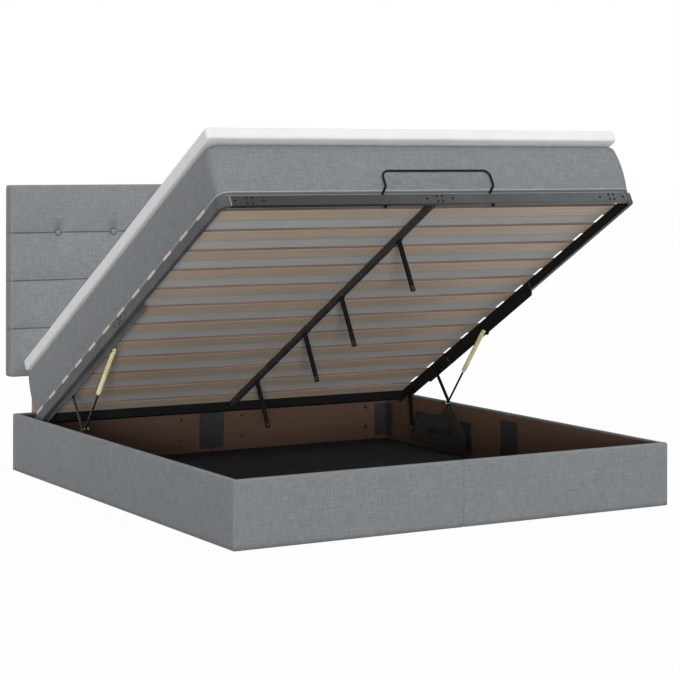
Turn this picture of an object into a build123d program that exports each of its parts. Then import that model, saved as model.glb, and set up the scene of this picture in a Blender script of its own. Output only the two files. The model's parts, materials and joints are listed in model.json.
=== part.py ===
"""Ottoman storage bed with its deck raised, in millimetres.

An upholstered box base, a button-back headboard, and a steel deck with wooden slats that
carries the mattress and a topper. The deck swings up on a pair of four-bar linkages and is
pushed by two gas springs. +Z is up, +Y points to the headboard, and the origin is on the
floor in the middle of the bed's outline.
"""
import os
from math import atan2, cos, degrees, hypot, radians, sin

from build123d import *

os.makedirs("parts", exist_ok=True)

# Overrun for every cut that passes right through
overrun = 5.0

# Base box: two half rails on each side, wrapped in fabric
base_length = 2060.0
base_width = 1860.0
base_height = 240.0
rail_board_thick = 16.0
rail_cover_thick = 4.5
fold_thick = 1.5
fold_depth = 15.0
hem_height = 2.0
rail_top_round = 8.0
rail_end_round = 4.0
seam_gap = 0.4

# Floor of the storage space
floor_board_thick = 16.0
floor_gap = 0.3

# Steel plates that join the half rails, angles in the corners, and their screws
joint_plate_width = 120.0
joint_plate_height = 176.0
joint_plate_thick = 2.5
plate_above_floor = 14.0
plate_corner_round = 10.0
plate_hole_inset = 18.0
corner_leg = 62.0
corner_thick = 2.5
corner_height = 150.0
screw_head_radius = 4.5
screw_head_height = 1.4
screw_head_slope = 20.0

# Headboard: two padded halves in four bands, with a row of buttons
headboard_width = 1896.0
headboard_top = 1208.0
headboard_bottom = 396.0
headboard_thick = 60.0
headboard_stand = 35.0
headboard_seam_gap = 0.6
band_count = 4
band_crown = 9.0
band_seam_floor = 4.0
headboard_wrap = 5.0
face_board_thick = 12.0
back_panel_thick = 3.0
rim_width = 40.0
button_count = 3
button_pitch = 256.0
button_radius = 12.0
button_height = 8.0
button_lift = 1.0
button_dome_share = 0.8
dimple_radius = 42.0
dimple_depth = 11.0
post_width = 70.0
post_thick = 30.0
post_middle_inset = 150.0
post_side_inset = 132.0
post_end_inset = 150.0
post_reach = 330.0
post_bolt_radius = 8.0
post_bolt_height = 5.0
post_bolt_spacing = 90.0

# Raised deck: how far it opens, and the centre that it swings about
lift_angle = 29.2
swing_back = 120.0
swing_height = 442.2

# Deck frame of steel tube, sizes as it lies when shut
tube_height = 40.0
tube_width = 20.0
tube_wall = 2.0
tube_round = 3.5
sleeve_length = 90.0
sleeve_gap = 0.1
deck_side_gap = 8.0
deck_foot_gap = 6.0
deck_corner_radius = 28.0
corner_stub = 3.0
corner_slit = 4.5
head_tube_inset = 73.5
side_tube_tail = 30.0
centre_tube_height = 25.0
centre_tube_width = 20.0
hole_radius = 3.2
hole_outer_pitch = 112.0
hole_inner_pitch_x = 22.0
hole_inner_pitch_z = 20.0
hole_cluster_inset = 75.0
side_cluster_inset = 965.0

# Deck support legs under the centre tube
leg_drop = 193.5
leg_radius = 9.5
leg_cap_radius = 10.3
leg_cap_height = 16.0
leg_cap_floor = 3.0
leg_foot_gap = 0.5
leg_plate_size = 30.0
leg_plate_thick = 2.0
leg_place_shares = (0.168, 0.42, 0.594, 0.839)

# Slats
slat_count = 12
slat_width = 72.0
slat_thick = 12.0
slat_round = 2.0
first_slat_inset = 119.5
last_slat_inset = 44.0

# Mattress and topper
soft_gap = 0.3
mattress_side_inset = 0.5
mattress_side_shift = 8.0
mattress_foot_inset = 6.0
mattress_height = 208.0
mattress_head_gap = 4.0
mattress_corner_radius = 40.0
mattress_edge_inset = 26.0
mattress_height_shares = (0.0, 0.035, 0.12, 0.5, 0.88, 0.965, 1.0)
mattress_inset_shares = (0.8, 0.42, 0.16, 0.0, 0.2, 0.5, 1.0)
topper_side_inset = 5.5
topper_foot_overhang = 17.0
topper_height = 45.0
topper_corner_radius = 16.0
topper_edge_round = 7.0
topper_head_gap = 24.0

# Bent rod that keeps the mattress from sliding off the deck
bar_half_width = 234.0
bar_radius = 4.5
bar_stand_out = 24.7
bar_kink_start = 4.6
bar_kink_rise = 14.4
bar_rise = 82.5
bar_corner_radius = 28.0
bar_kink_radius = 7.0
bar_tube_inset = 11.8
bar_hole_gap = 0.3
bar_nut_radius = 7.5
bar_nut_height = 6.0
bar_tail = 9.0

# Lift mechanism, from the rail inwards
lane_gap = 1.0
moving_plate_thick = 2.5
fixed_plate_thick = 3.0
link_thick = 3.5
link_width = 18.0
rear_link_width = 26.0
pivot_radius = 4.0
pivot_clearance = 0.06
pivot_head_radius = 7.0
pivot_head_height = 2.5
pivot_nut_radius = 8.5
pivot_nut_height = 7.0
touch_gap = 0.3

# Pivots on the deck, as it lies when shut, and how far the fixed pivots are from the swing centre
front_pivot_inset = 402.0
front_pivot_rise = 16.0
front_anchor_reach = 518.3
rear_pivot_inset = 166.3
rear_pivot_rise = 10.5
rear_anchor_reach = 383.7
strut_pivot_inset = 850.2
strut_pivot_drop = 18.0

# Gas spring
strut_radius = 9.5
strut_neck_radius = 7.5
strut_neck_length = 7.0
strut_body_length = 222.0
strut_eye_radius = 8.0
strut_eye_thick = 9.6
strut_eye_reach = 12.0
strut_rod_radius = 4.5
strut_rod_inside = 10.0

# Fixed lift bracket: a pressed channel on the rail
bracket_bottom = 40.0
bracket_flange_height = 125.0
bracket_foot_reach = 120.0
bracket_head_reach = 30.0
bracket_lobe_radius = 9.0
bracket_foot_rise = 60.0
bracket_head_rise = 66.0
bracket_shoulder_reach = 60.0
bracket_shoulder_rise = 138.0
bracket_slot_width = 26.0
bracket_slot_length = 190.0

# Moving lift bracket: a long plate on the inside of the deck's side tube
plate_drop = 26.0
plate_top_inset = 7.5
plate_foot_reach = 380.5
plate_head_reach = 40.0
plate_neck_reach = 72.0
plate_neck_rise = 9.0
plate_lobe_radius = 15.0
plate_window_radius = 9.0
plate_window_inset = 114.0
plate_bolt_insets = (26.0, 170.0, 318.0)
plate_bolt_radius = 6.5
plate_bolt_height = 2.6

# Places that follow from the sizes above
overall_length = base_length + headboard_stand
foot_y = -overall_length / 2
base_back_y = foot_y + base_length
rail_thick = rail_board_thick + rail_cover_thick
rail_fold = rail_thick + fold_thick
rail_inner_x = base_width / 2 - rail_thick
headboard_back_y = base_back_y + headboard_stand
headboard_face_y = headboard_back_y - headboard_thick
half_headboard = headboard_width / 2 - headboard_seam_gap / 2
swing_y = headboard_face_y - swing_back
swing_z = swing_height

deck_bottom = floor_board_thick + leg_foot_gap + leg_drop
deck_top = deck_bottom + tube_height
deck_front = foot_y + rail_fold + deck_foot_gap
head_tube_y = base_back_y - rail_thick - head_tube_inset - tube_width
side_tube_end = head_tube_y + tube_width + side_tube_tail
deck_half_width = rail_inner_x - deck_side_gap
deck_inner_x = deck_half_width - tube_width
deck_length = side_tube_end - deck_front
slat_pitch = (deck_length - first_slat_inset - last_slat_inset - slat_width) / (slat_count - 1)
centre_tube_bottom = deck_top - centre_tube_height
mattress_bottom = deck_top + slat_thick + soft_gap
topper_bottom = mattress_bottom + mattress_height + soft_gap
mattress_head_y = headboard_face_y - mattress_head_gap
topper_head_y = headboard_face_y - topper_head_gap
mattress_width = 2 * (deck_half_width - mattress_side_inset)
mattress_length = mattress_head_y - deck_front - mattress_foot_inset
topper_width = 2 * (deck_half_width - topper_side_inset)
topper_length = topper_head_y - deck_front + topper_foot_overhang

moving_plate_x = deck_inner_x - moving_plate_thick
fixed_plate_x = moving_plate_x - lane_gap - fixed_plate_thick
link_x = fixed_plate_x - lane_gap - link_thick
strut_x = link_x - lane_gap - strut_radius


def swing(point, angle):
    """Turns a point of the shut deck about the swing centre; a positive angle opens it."""
    y, z = point[0] - swing_y, point[1] - swing_z
    turn = radians(angle)
    return swing_y + y * cos(turn) + z * sin(turn), swing_z - y * sin(turn) + z * cos(turn)


def anchor(shut_point, reach):
    """The fixed pivot of a link, on the line that lies evenly between its two end positions."""
    half_way = swing(shut_point, lift_angle / 2)
    y, z = half_way[0] - swing_y, half_way[1] - swing_z
    return swing_y + y * reach / hypot(y, z), swing_z + z * reach / hypot(y, z)


def span(start, end):
    """Length and direction in degrees of the line between two points of a side view."""
    y, z = end[0] - start[0], end[1] - start[1]
    return hypot(y, z), degrees(atan2(z, y))


front_shut = (headboard_face_y - front_pivot_inset, deck_bottom + front_pivot_rise)
rear_shut = (headboard_face_y - rear_pivot_inset, deck_bottom + rear_pivot_rise)
strut_shut = (headboard_face_y - strut_pivot_inset, deck_bottom - strut_pivot_drop)
front_anchor = anchor(front_shut, front_anchor_reach)
rear_anchor = anchor(rear_shut, rear_anchor_reach)
front_open = swing(front_shut, lift_angle)
rear_open = swing(rear_shut, lift_angle)
strut_open = swing(strut_shut, lift_angle)

# The deck's own plane: its local sizes are those of the shut deck, and it stands open
deck = Plane(
    Location((0, swing_y, swing_z), (-lift_angle, 0, 0)) * Location((0, -swing_y, -swing_z))
)


def deck_side(x):
    """A plane for side views of the shut deck, at x across the bed."""
    return Plane(origin=deck.from_local_coords((x, 0, 0)), x_dir=deck.y_dir, z_dir=deck.x_dir)


def lane(view, side, near, far):
    """The side view plane where a plate between near and far starts, left (-1) or right (1)."""
    return view(min(side * near, side * far)), far - near


def save(part, label):
    part.label = label
    export_step(part, f"parts/{label}.step")


def side_name(side):
    return "left" if side < 0 else "right"


# Half rails: a board and the fabric cover that wraps it

def rail_plane(outward, start):
    """Local X points out of the bed and local Y up, at the outer bottom edge."""
    return Plane(origin=start, x_dir=outward, z_dir=Vector(*outward).cross(Vector(0, 0, 1)))


def rail_board(place, length):
    with BuildPart() as board:
        with BuildSketch(place.offset(rail_cover_thick)):
            with Locations((-rail_thick, 0)):
                Rectangle(
                    rail_board_thick, base_height - rail_cover_thick, align=(Align.MIN, Align.MIN)
                )
        extrude(amount=length - 2 * rail_cover_thick)
    return board.part


def rail_cover(place, length):
    with BuildPart() as cover:
        with BuildSketch(place):
            with Locations((-rail_fold, hem_height)):
                Rectangle(rail_fold, base_height - hem_height, align=(Align.MIN, Align.MIN))
        extrude(amount=length)
        outer = place.x_dir
        top_edges = cover.faces().sort_by(Axis.Z)[-1].edges().filter_by(Axis(place.origin, place.z_dir))
        fillet(top_edges.sort_by(Axis(place.origin, outer))[-1], rail_top_round)
        upright = cover.edges().filter_by(Axis.Z).group_by(Axis(place.origin, outer))[-1]
        fillet(upright, rail_end_round)
        with BuildSketch(place.offset(rail_cover_thick)):
            with Locations((-rail_thick, 0)):
                Rectangle(
                    rail_board_thick, base_height - rail_cover_thick, align=(Align.MIN, Align.MIN)
                )
        extrude(amount=length - 2 * rail_cover_thick, mode=Mode.SUBTRACT)
        with BuildSketch(place.offset(-overrun)):
            with Locations((-rail_fold - overrun, 0)):
                Rectangle(
                    fold_thick + overrun, base_height - fold_depth, align=(Align.MIN, Align.MIN)
                )
        extrude(amount=length + 2 * overrun, mode=Mode.SUBTRACT)
    return cover.part


side_rail_start = foot_y + rail_fold
side_rail_end = base_back_y - rail_fold
half_side_rail = (side_rail_end - side_rail_start - seam_gap) / 2
half_end_rail = (base_width - seam_gap) / 2
half_width = base_width / 2

rails = {
    "left_rail_foot": ((-1, 0, 0), (-half_width, side_rail_start, 0), half_side_rail),
    "left_rail_head": ((-1, 0, 0), (-half_width, side_rail_end - half_side_rail, 0), half_side_rail),
    "right_rail_foot": ((1, 0, 0), (half_width, side_rail_start + half_side_rail, 0), half_side_rail),
    "right_rail_head": ((1, 0, 0), (half_width, side_rail_end, 0), half_side_rail),
    "foot_rail_left": ((0, -1, 0), (-seam_gap / 2, foot_y, 0), half_end_rail),
    "foot_rail_right": ((0, -1, 0), (half_width, foot_y, 0), half_end_rail),
    "head_rail_left": ((0, 1, 0), (-half_width, base_back_y, 0), half_end_rail),
    "head_rail_right": ((0, 1, 0), (seam_gap / 2, base_back_y, 0), half_end_rail),
}
for name, (outward, start, length) in rails.items():
    save(rail_board(rail_plane(outward, start), length), name)
    save(rail_cover(rail_plane(outward, start), length), f"{name}_cover")

# Floor boards of the storage space
floor_length = base_length - 2 * rail_thick - 2 * floor_gap
floor_width = rail_inner_x - floor_gap - seam_gap / 2
floor_middle_y = (foot_y + base_back_y) / 2
for side in (-1, 1):
    with BuildPart() as floor_board:
        with BuildSketch():
            with Locations((side * (rail_inner_x - floor_gap - floor_width / 2), floor_middle_y)):
                Rectangle(floor_width, floor_length)
        extrude(amount=floor_board_thick)
    save(floor_board.part, f"floor_board_{side_name(side)}")


# Steel joint plates inside the rails, corner angles and their screws

def face_plane(inward, place):
    """A plane on the inner face of a rail, looking into the bed, with local Y up."""
    return Plane(origin=place, x_dir=Vector(0, 0, 1).cross(Vector(*inward)), z_dir=inward)


plate_low = floor_board_thick + plate_above_floor
plate_middle = plate_low + joint_plate_height / 2
joint_planes = [
    face_plane((1, 0, 0), (-rail_inner_x, floor_middle_y, plate_middle)),
    face_plane((-1, 0, 0), (rail_inner_x, floor_middle_y, plate_middle)),
    face_plane((0, 1, 0), (0, foot_y + rail_thick, plate_middle)),
    face_plane((0, -1, 0), (0, base_back_y - rail_thick, plate_middle)),
]
hole_span_x = joint_plate_width - 2 * plate_hole_inset
hole_span_y = joint_plate_height - 2 * plate_hole_inset
with BuildPart() as joint_plates:
    for place in joint_planes:
        with BuildSketch(place):
            RectangleRounded(joint_plate_width, joint_plate_height, plate_corner_round)
            with GridLocations(hole_span_x, hole_span_y / 3, 2, 4):
                Circle(hole_radius, mode=Mode.SUBTRACT)
        extrude(amount=joint_plate_thick)
save(joint_plates.part, "rail_joint_plates")

corner_middle = plate_low + corner_height / 2
with BuildPart() as corner_angles:
    for side in (-1, 1):
        corner_x = side * rail_inner_x
        for end, edge_y in ((1, foot_y + rail_thick), (-1, base_back_y - rail_thick)):
            with BuildSketch(Plane.XY.offset(plate_low)):
                Polygon(
                    (corner_x, edge_y),
                    (corner_x - side * corner_leg, edge_y),
                    (corner_x - side * corner_leg, edge_y + end * corner_thick),
                    (corner_x - side * corner_thick, edge_y + end * corner_thick),
                    (corner_x - side * corner_thick, edge_y + end * corner_leg),
                    (corner_x, edge_y + end * corner_leg),
                    align=None,
                )
            extrude(amount=corner_height)
save(corner_angles.part, "corner_angles")

corner_screw_x = rail_inner_x - corner_leg + plate_hole_inset
corner_screw_y = corner_leg - plate_hole_inset
with BuildPart() as rail_screws:
    for place in joint_planes:
        with BuildSketch(place.offset(joint_plate_thick)):
            with GridLocations(hole_span_x, hole_span_y / 3, 2, 4):
                Circle(screw_head_radius)
        extrude(amount=screw_head_height, taper=screw_head_slope)
    for side in (-1, 1):
        for end, edge_y in ((1, foot_y + rail_thick), (-1, base_back_y - rail_thick)):
            on_end = face_plane((0, end, 0), (side * corner_screw_x, edge_y, corner_middle))
            on_side = face_plane(
                (-side, 0, 0), (side * rail_inner_x, edge_y + end * corner_screw_y, corner_middle)
            )
            for place in (on_end, on_side):
                with BuildSketch(place.offset(corner_thick)):
                    with GridLocations(corner_leg, corner_height / 2, 1, 2):
                        Circle(screw_head_radius)
                extrude(amount=screw_head_height, taper=screw_head_slope)
save(rail_screws.part, "rail_screws")

# Headboard halves
band_height = (headboard_top - headboard_bottom) / band_count
face_board_y = headboard_face_y + band_crown + band_seam_floor
post_y = face_board_y + face_board_thick
button_z = headboard_top - band_height
core_width = half_headboard - 2 * headboard_wrap
core_height = headboard_top - headboard_bottom - 2 * headboard_wrap
headboard_middle_x = (half_headboard + headboard_seam_gap) / 2
headboard_middle_z = (headboard_bottom + headboard_top) / 2
dimple_ball = (dimple_radius ** 2 + dimple_depth ** 2) / (2 * dimple_depth)


def post_places(side):
    """The outer posts stand where both the head rail and the headboard reach."""
    middle_y = post_y + post_thick / 2
    outer_x = min(base_width / 2 - post_side_inset, headboard_width / 2 - post_end_inset)
    return [(side * x, middle_y) for x in (post_middle_inset, outer_x)]


def cut_post_slots(side):
    """Cuts the slots in the headboard's lower edge that its posts pass through."""
    with BuildSketch(Plane.XY.offset(headboard_bottom - overrun)) as slots:
        with Locations(*post_places(side)):
            Rectangle(post_width + 2 * touch_gap, post_thick + 2 * touch_gap)
    slot_depth = overrun + headboard_wrap + rim_width + overrun
    extrude(slots.sketch, amount=slot_depth, mode=Mode.SUBTRACT)


def button_places(side):
    first = side * headboard_middle_x - button_pitch * (button_count - 1) / 2
    return [first + button_pitch * place for place in range(button_count)]


def headboard_cover(side):
    """The padded cover: four crowned bands in front, wrapped round the core's edges."""
    seam_y = headboard_face_y + band_crown
    middle = side * headboard_middle_x
    with BuildPart() as cover:
        with BuildSketch(Plane.YZ.offset(middle - half_headboard / 2)):
            with BuildLine():
                back_low = (headboard_back_y, headboard_bottom)
                back_high = (headboard_back_y, headboard_top)
                Polyline((seam_y, headboard_bottom), back_low, back_high, (seam_y, headboard_top))
                for band in range(band_count):
                    low = headboard_bottom + band * band_height
                    ThreePointArc(
                        (seam_y, low),
                        (headboard_face_y, low + band_height / 2),
                        (seam_y, low + band_height),
                    )
            make_face()
        extrude(amount=half_headboard)
        front_edges = cover.edges().filter_by(GeomType.CIRCLE)
        fillet(front_edges, band_crown / 2)
        with BuildSketch(Plane.XZ.offset(-headboard_back_y - overrun)):
            with Locations((middle, headboard_middle_z)):
                Rectangle(core_width, core_height)
        extrude(amount=headboard_back_y + overrun - face_board_y, mode=Mode.SUBTRACT)
        cut_post_slots(side)
        for place in button_places(side):
            with Locations((place, headboard_face_y + dimple_depth - dimple_ball, button_z)):
                Sphere(dimple_ball, mode=Mode.SUBTRACT)
    return cover.part


def headboard_core(side):
    """A face board with a rim of battens behind it."""
    depth = headboard_back_y - back_panel_thick - face_board_y
    middle = (side * headboard_middle_x, headboard_middle_z)
    with BuildPart() as core:
        with BuildSketch(Plane.XZ.offset(-face_board_y)):
            with Locations(middle):
                Rectangle(core_width, core_height)
        extrude(amount=-depth)
        with BuildSketch(Plane.XZ.offset(-post_y)):
            with Locations(middle):
                Rectangle(core_width - 2 * rim_width, core_height - 2 * rim_width)
        extrude(amount=-depth, mode=Mode.SUBTRACT)
        cut_post_slots(side)
    return core.part


for side in (-1, 1):
    save(headboard_core(side), f"headboard_core_{side_name(side)}")
    save(headboard_cover(side), f"headboard_cover_{side_name(side)}")

with BuildPart() as headboard_backs:
    for side in (-1, 1):
        with BuildSketch(Plane.XZ.offset(-headboard_back_y)):
            with Locations((side * headboard_middle_x, headboard_middle_z)):
                Rectangle(core_width, core_height)
        extrude(amount=back_panel_thick)
save(headboard_backs.part, "headboard_backs")

button_y = headboard_face_y + dimple_depth - button_lift
button_edge_round = button_height * button_dome_share
with BuildPart() as headboard_buttons:
    with BuildSketch(Plane.XZ.offset(-button_y)):
        for side in (-1, 1):
            with Locations(*[(place, button_z) for place in button_places(side)]):
                Circle(button_radius)
    extrude(amount=button_height)
    fillet(headboard_buttons.faces().sort_by(Axis.Y)[:6].edges(), button_edge_round)
save(headboard_buttons.part, "headboard_buttons")

# Four battens stand on the floor behind the head rail and hold the headboard
with BuildPart() as headboard_posts:
    with BuildSketch():
        for side in (-1, 1):
            with Locations(*post_places(side)):
                Rectangle(post_width, post_thick)
    extrude(amount=headboard_bottom + post_reach)
save(headboard_posts.part, "headboard_posts")

with BuildPart() as post_bolts:
    with BuildSketch(Plane.XZ.offset(-(base_back_y - rail_thick))):
        for side in (-1, 1):
            for post_x, _ in post_places(side):
                with Locations((post_x, base_height / 2)):
                    with GridLocations(0, post_bolt_spacing, 1, 2):
                        RegularPolygon(post_bolt_radius, 6)
    extrude(amount=post_bolt_height)
save(post_bolts.part, "post_bolts")


# Deck frame: two bent side tubes, a foot tube, a head tube and a middle tube

def deck_level(height):
    """A plane that looks down on the shut deck at the given height."""
    return deck.offset(height)


def deck_front_view(y):
    """A plane that looks from the foot at the shut deck, starting at y."""
    return Plane(
        origin=deck.from_local_coords((0, y, 0)), x_dir=deck.x_dir, z_dir=deck.y_dir * -1
    )


def tube_profile(width, height):
    RectangleRounded(width, height, tube_round)
    RectangleRounded(
        width - 2 * tube_wall, height - 2 * tube_wall, tube_round - tube_wall, mode=Mode.SUBTRACT
    )


def hole_cluster():
    with GridLocations(hole_inner_pitch_x, hole_inner_pitch_z, 2, 2):
        Circle(hole_radius)
    with GridLocations(hole_outer_pitch, 0, 2, 1):
        Circle(hole_radius)


tube_middle = deck_bottom + tube_height / 2
side_tube_x = deck_half_width - tube_width / 2
front_tube_y = deck_front + tube_width / 2
stub_end = side_tube_x - deck_corner_radius - corner_stub
for side in (-1, 1):
    with BuildPart() as side_tube:
        with BuildLine(deck_level(tube_middle)):
            FilletPolyline(
                (side * side_tube_x, side_tube_end),
                (side * side_tube_x, front_tube_y),
                (side * stub_end, front_tube_y),
                radius=deck_corner_radius,
            )
        with BuildSketch(deck_front_view(side_tube_end)):
            with Locations((side * side_tube_x, tube_middle)):
                tube_profile(tube_width, tube_height)
        sweep()
        with BuildSketch(deck_side(side * deck_half_width + overrun)):
            with Locations((deck_front + side_cluster_inset, tube_middle)):
                hole_cluster()
        extrude(amount=-2 * overrun, mode=Mode.SUBTRACT)
    save(side_tube.part, f"side_tube_{side_name(side)}")

bar_tube_y = deck_front + bar_tube_inset
foot_tube_half = stub_end - corner_slit
with BuildPart() as foot_tube:
    with BuildSketch(deck_side(-foot_tube_half)):
        with Locations((front_tube_y, tube_middle)):
            tube_profile(tube_width, tube_height)
    extrude(amount=2 * foot_tube_half)
    with BuildSketch(deck_front_view(deck_front - overrun)):
        for place in (hole_cluster_inset - stub_end, 0, stub_end - hole_cluster_inset):
            with Locations((place, tube_middle)):
                hole_cluster()
    extrude(amount=-2 * overrun, mode=Mode.SUBTRACT)
    with BuildSketch(deck_level(deck_bottom - overrun)):
        with Locations((-bar_half_width, bar_tube_y), (bar_half_width, bar_tube_y)):
            Circle(bar_radius + bar_hole_gap)
    extrude(amount=tube_height + 2 * overrun, mode=Mode.SUBTRACT)
save(foot_tube.part, "foot_tube")

# Sleeves inside the tubes carry the foot tube between the bent corners
sleeve_end = stub_end + corner_stub
sleeve_width = tube_width - 2 * tube_wall - 2 * sleeve_gap
sleeve_height = tube_height - 2 * tube_wall - 2 * sleeve_gap
with BuildPart() as tube_sleeves:
    for side in (-1, 1):
        start, length = lane(deck_side, side, sleeve_end - sleeve_length, sleeve_end)
        with BuildSketch(start):
            with Locations((front_tube_y, tube_middle)):
                RectangleRounded(sleeve_width, sleeve_height, tube_round - tube_wall)
        extrude(amount=length)
save(tube_sleeves.part, "tube_sleeves")

with BuildPart() as head_tube:
    with BuildSketch(deck_side(-deck_inner_x)):
        with Locations((head_tube_y + tube_width / 2, tube_middle)):
            tube_profile(tube_width, tube_height)
    extrude(amount=2 * deck_inner_x)
save(head_tube.part, "head_tube")

with BuildPart() as centre_tube:
    with BuildSketch(deck_front_view(deck_front + tube_width)):
        with Locations((0, centre_tube_bottom + centre_tube_height / 2)):
            tube_profile(centre_tube_width, centre_tube_height)
    extrude(amount=-(head_tube_y - deck_front - tube_width))
save(centre_tube.part, "centre_tube")

# Slats, legs under the middle tube and their caps
with BuildPart() as slats:
    with BuildSketch(deck_side(-deck_half_width)):
        for place in range(slat_count):
            with Locations(
                (deck_front + first_slat_inset + place * slat_pitch, deck_top)
            ):
                RectangleRounded(slat_width, slat_thick, slat_round, align=(Align.MIN, Align.MIN))
    extrude(amount=2 * deck_half_width)
save(slats.part, "slats")

leg_places = [(0, deck_front + share * deck_length) for share in leg_place_shares]
leg_bottom = floor_board_thick + leg_foot_gap
with BuildPart() as deck_legs:
    with BuildSketch(deck_level(leg_bottom + leg_cap_floor)):
        with Locations(*leg_places):
            Circle(leg_radius)
            Circle(leg_radius - tube_wall, mode=Mode.SUBTRACT)
    extrude(amount=centre_tube_bottom - leg_plate_thick - leg_bottom - leg_cap_floor)
    with BuildSketch(deck_level(centre_tube_bottom)):
        with Locations(*leg_places):
            RectangleRounded(centre_tube_width, leg_plate_size, leg_plate_thick)
    extrude(amount=-leg_plate_thick)
save(deck_legs.part, "deck_legs")

with BuildPart() as leg_caps:
    with BuildSketch(deck_level(leg_bottom)):
        with Locations(*leg_places):
            Circle(leg_cap_radius)
    extrude(amount=leg_cap_height)
    with BuildSketch(deck_level(leg_bottom + leg_cap_floor)):
        with Locations(*leg_places):
            Circle(leg_radius)
    extrude(amount=leg_cap_height, mode=Mode.SUBTRACT)
save(leg_caps.part, "leg_caps")

# Mattress and topper
mattress_middle_y = mattress_head_y - mattress_length / 2
with BuildPart() as mattress:
    for rise, share in zip(mattress_height_shares, mattress_inset_shares):
        inset = share * mattress_edge_inset
        with BuildSketch(deck_level(mattress_bottom + rise * mattress_height)):
            with Locations((mattress_side_shift, mattress_middle_y)):
                RectangleRounded(
                    mattress_width - 2 * inset,
                    mattress_length - 2 * inset,
                    mattress_corner_radius - inset,
                )
    loft()
save(mattress.part, "mattress")

with BuildPart() as topper:
    with BuildSketch(deck_level(topper_bottom)):
        with Locations((0, topper_head_y - topper_length / 2)):
            RectangleRounded(topper_width, topper_length, topper_corner_radius)
    extrude(amount=topper_height)
    fillet(topper.faces().sort_by(Axis(deck.origin, deck.z_dir))[-1].edges(), topper_edge_round)
    fillet(topper.faces().sort_by(Axis(deck.origin, deck.z_dir))[0].edges(), topper_edge_round)
save(topper.part, "topper")

# Bent rod at the foot end, up through the foot tube and out in front of the mattress
bar_y = deck_front - bar_stand_out
with BuildPart() as retaining_bar:
    with BuildLine():
        points = [
            (bar_tube_y, deck_bottom - bar_tail),
            (bar_tube_y, deck_top + bar_kink_start),
            (bar_y, deck_top + bar_kink_start + bar_kink_rise),
            (bar_y, deck_top + bar_rise),
        ]
        left_leg = [deck.from_local_coords((-bar_half_width, y, z)) for y, z in points]
        right_leg = [deck.from_local_coords((bar_half_width, y, z)) for y, z in points]
        bends = [bar_kink_radius, bar_kink_radius, bar_corner_radius]
        FilletPolyline(*left_leg, *reversed(right_leg), radius=bends + bends[::-1])
    with BuildSketch(deck_level(deck_bottom - bar_tail)):
        with Locations((-bar_half_width, bar_tube_y)):
            Circle(bar_radius)
    sweep()
save(retaining_bar.part, "retaining_bar")

with BuildPart() as bar_nuts:
    with BuildSketch(deck_level(deck_bottom)):
        with Locations((-bar_half_width, bar_tube_y), (bar_half_width, bar_tube_y)):
            RegularPolygon(bar_nut_radius, 6)
            Circle(bar_radius, mode=Mode.SUBTRACT)
    extrude(amount=-bar_nut_height)
save(bar_nuts.part, "bar_nuts")


# Lift mechanism, one set on each side

def base_side(x):
    """A plane for side views of the base, at x across the bed."""
    return Plane.YZ.offset(x)


def pivot_stud(view, side, place, near, far, radius):
    """A round pin across the bed between near and far, at a place in a side view."""
    start, length = lane(view, side, near, far)
    with BuildSketch(start) as disc:
        with Locations(place):
            Circle(radius)
    extrude(disc.sketch, amount=length)


def fixed_bracket(side):
    """A pressed channel on the rail: flange, web and an upright with a lobe at each pivot."""
    front_y, front_z = front_anchor
    rear_y, rear_z = rear_anchor
    foot_end = front_y - bracket_foot_reach
    head_end = rear_y + bracket_head_reach
    shoulder_z = bracket_bottom + bracket_shoulder_rise
    radius = bracket_lobe_radius
    upright = [
        (foot_end, bracket_bottom),
        (foot_end, bracket_bottom + bracket_foot_rise),
        (front_y - radius, front_z),
        (front_y + radius, front_z),
        (front_y + bracket_shoulder_reach, shoulder_z),
        (rear_y - bracket_shoulder_reach, shoulder_z),
        (rear_y + radius, rear_z),
        (head_end, bracket_bottom),
    ]
    upright_start, thick = lane(base_side, side, fixed_plate_x, fixed_plate_x + fixed_plate_thick)
    flange_start, _ = lane(base_side, side, rail_inner_x - fixed_plate_thick, rail_inner_x)
    web_start, reach = lane(base_side, side, fixed_plate_x, rail_inner_x)
    with BuildPart() as bracket:
        with BuildSketch(upright_start):
            Polygon(*upright, align=None)
            with Locations(front_anchor, rear_anchor):
                Circle(radius)
            with Locations(((foot_end + rear_y) / 2, bracket_bottom + bracket_head_rise)):
                SlotOverall(bracket_slot_length, bracket_slot_width, mode=Mode.SUBTRACT)
            with Locations(front_anchor, rear_anchor):
                Circle(pivot_radius, mode=Mode.SUBTRACT)
        extrude(amount=thick)
        with BuildSketch(web_start):
            with Locations((foot_end, bracket_bottom)):
                Rectangle(head_end - foot_end, fixed_plate_thick, align=(Align.MIN, Align.MIN))
        extrude(amount=reach)
        with BuildSketch(flange_start):
            with Locations((foot_end, bracket_bottom)):
                Rectangle(head_end - foot_end, bracket_flange_height, align=(Align.MIN, Align.MIN))
        extrude(amount=thick)
    return bracket.part


strut_eye_near = strut_x - strut_eye_thick / 2
strut_eye_far = strut_x + strut_eye_thick / 2
fixed_plate_far = fixed_plate_x + fixed_plate_thick
with BuildPart() as base_pivots:
    for side in (-1, 1):
        for place, nut_far in ((front_anchor, strut_eye_near), (rear_anchor, link_x)):
            nut_face = nut_far - touch_gap
            nut_near = nut_face - pivot_nut_height
            pivot_stud(base_side, side, place, nut_face, fixed_plate_far, pivot_radius)
            pivot_stud(base_side, side, place, nut_near, nut_face, pivot_nut_radius)
        spacer_ends = (strut_eye_far + touch_gap, link_x - touch_gap)
        pivot_stud(base_side, side, front_anchor, *spacer_ends, pivot_head_radius)
save(base_pivots.part, "base_pivots")


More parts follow.
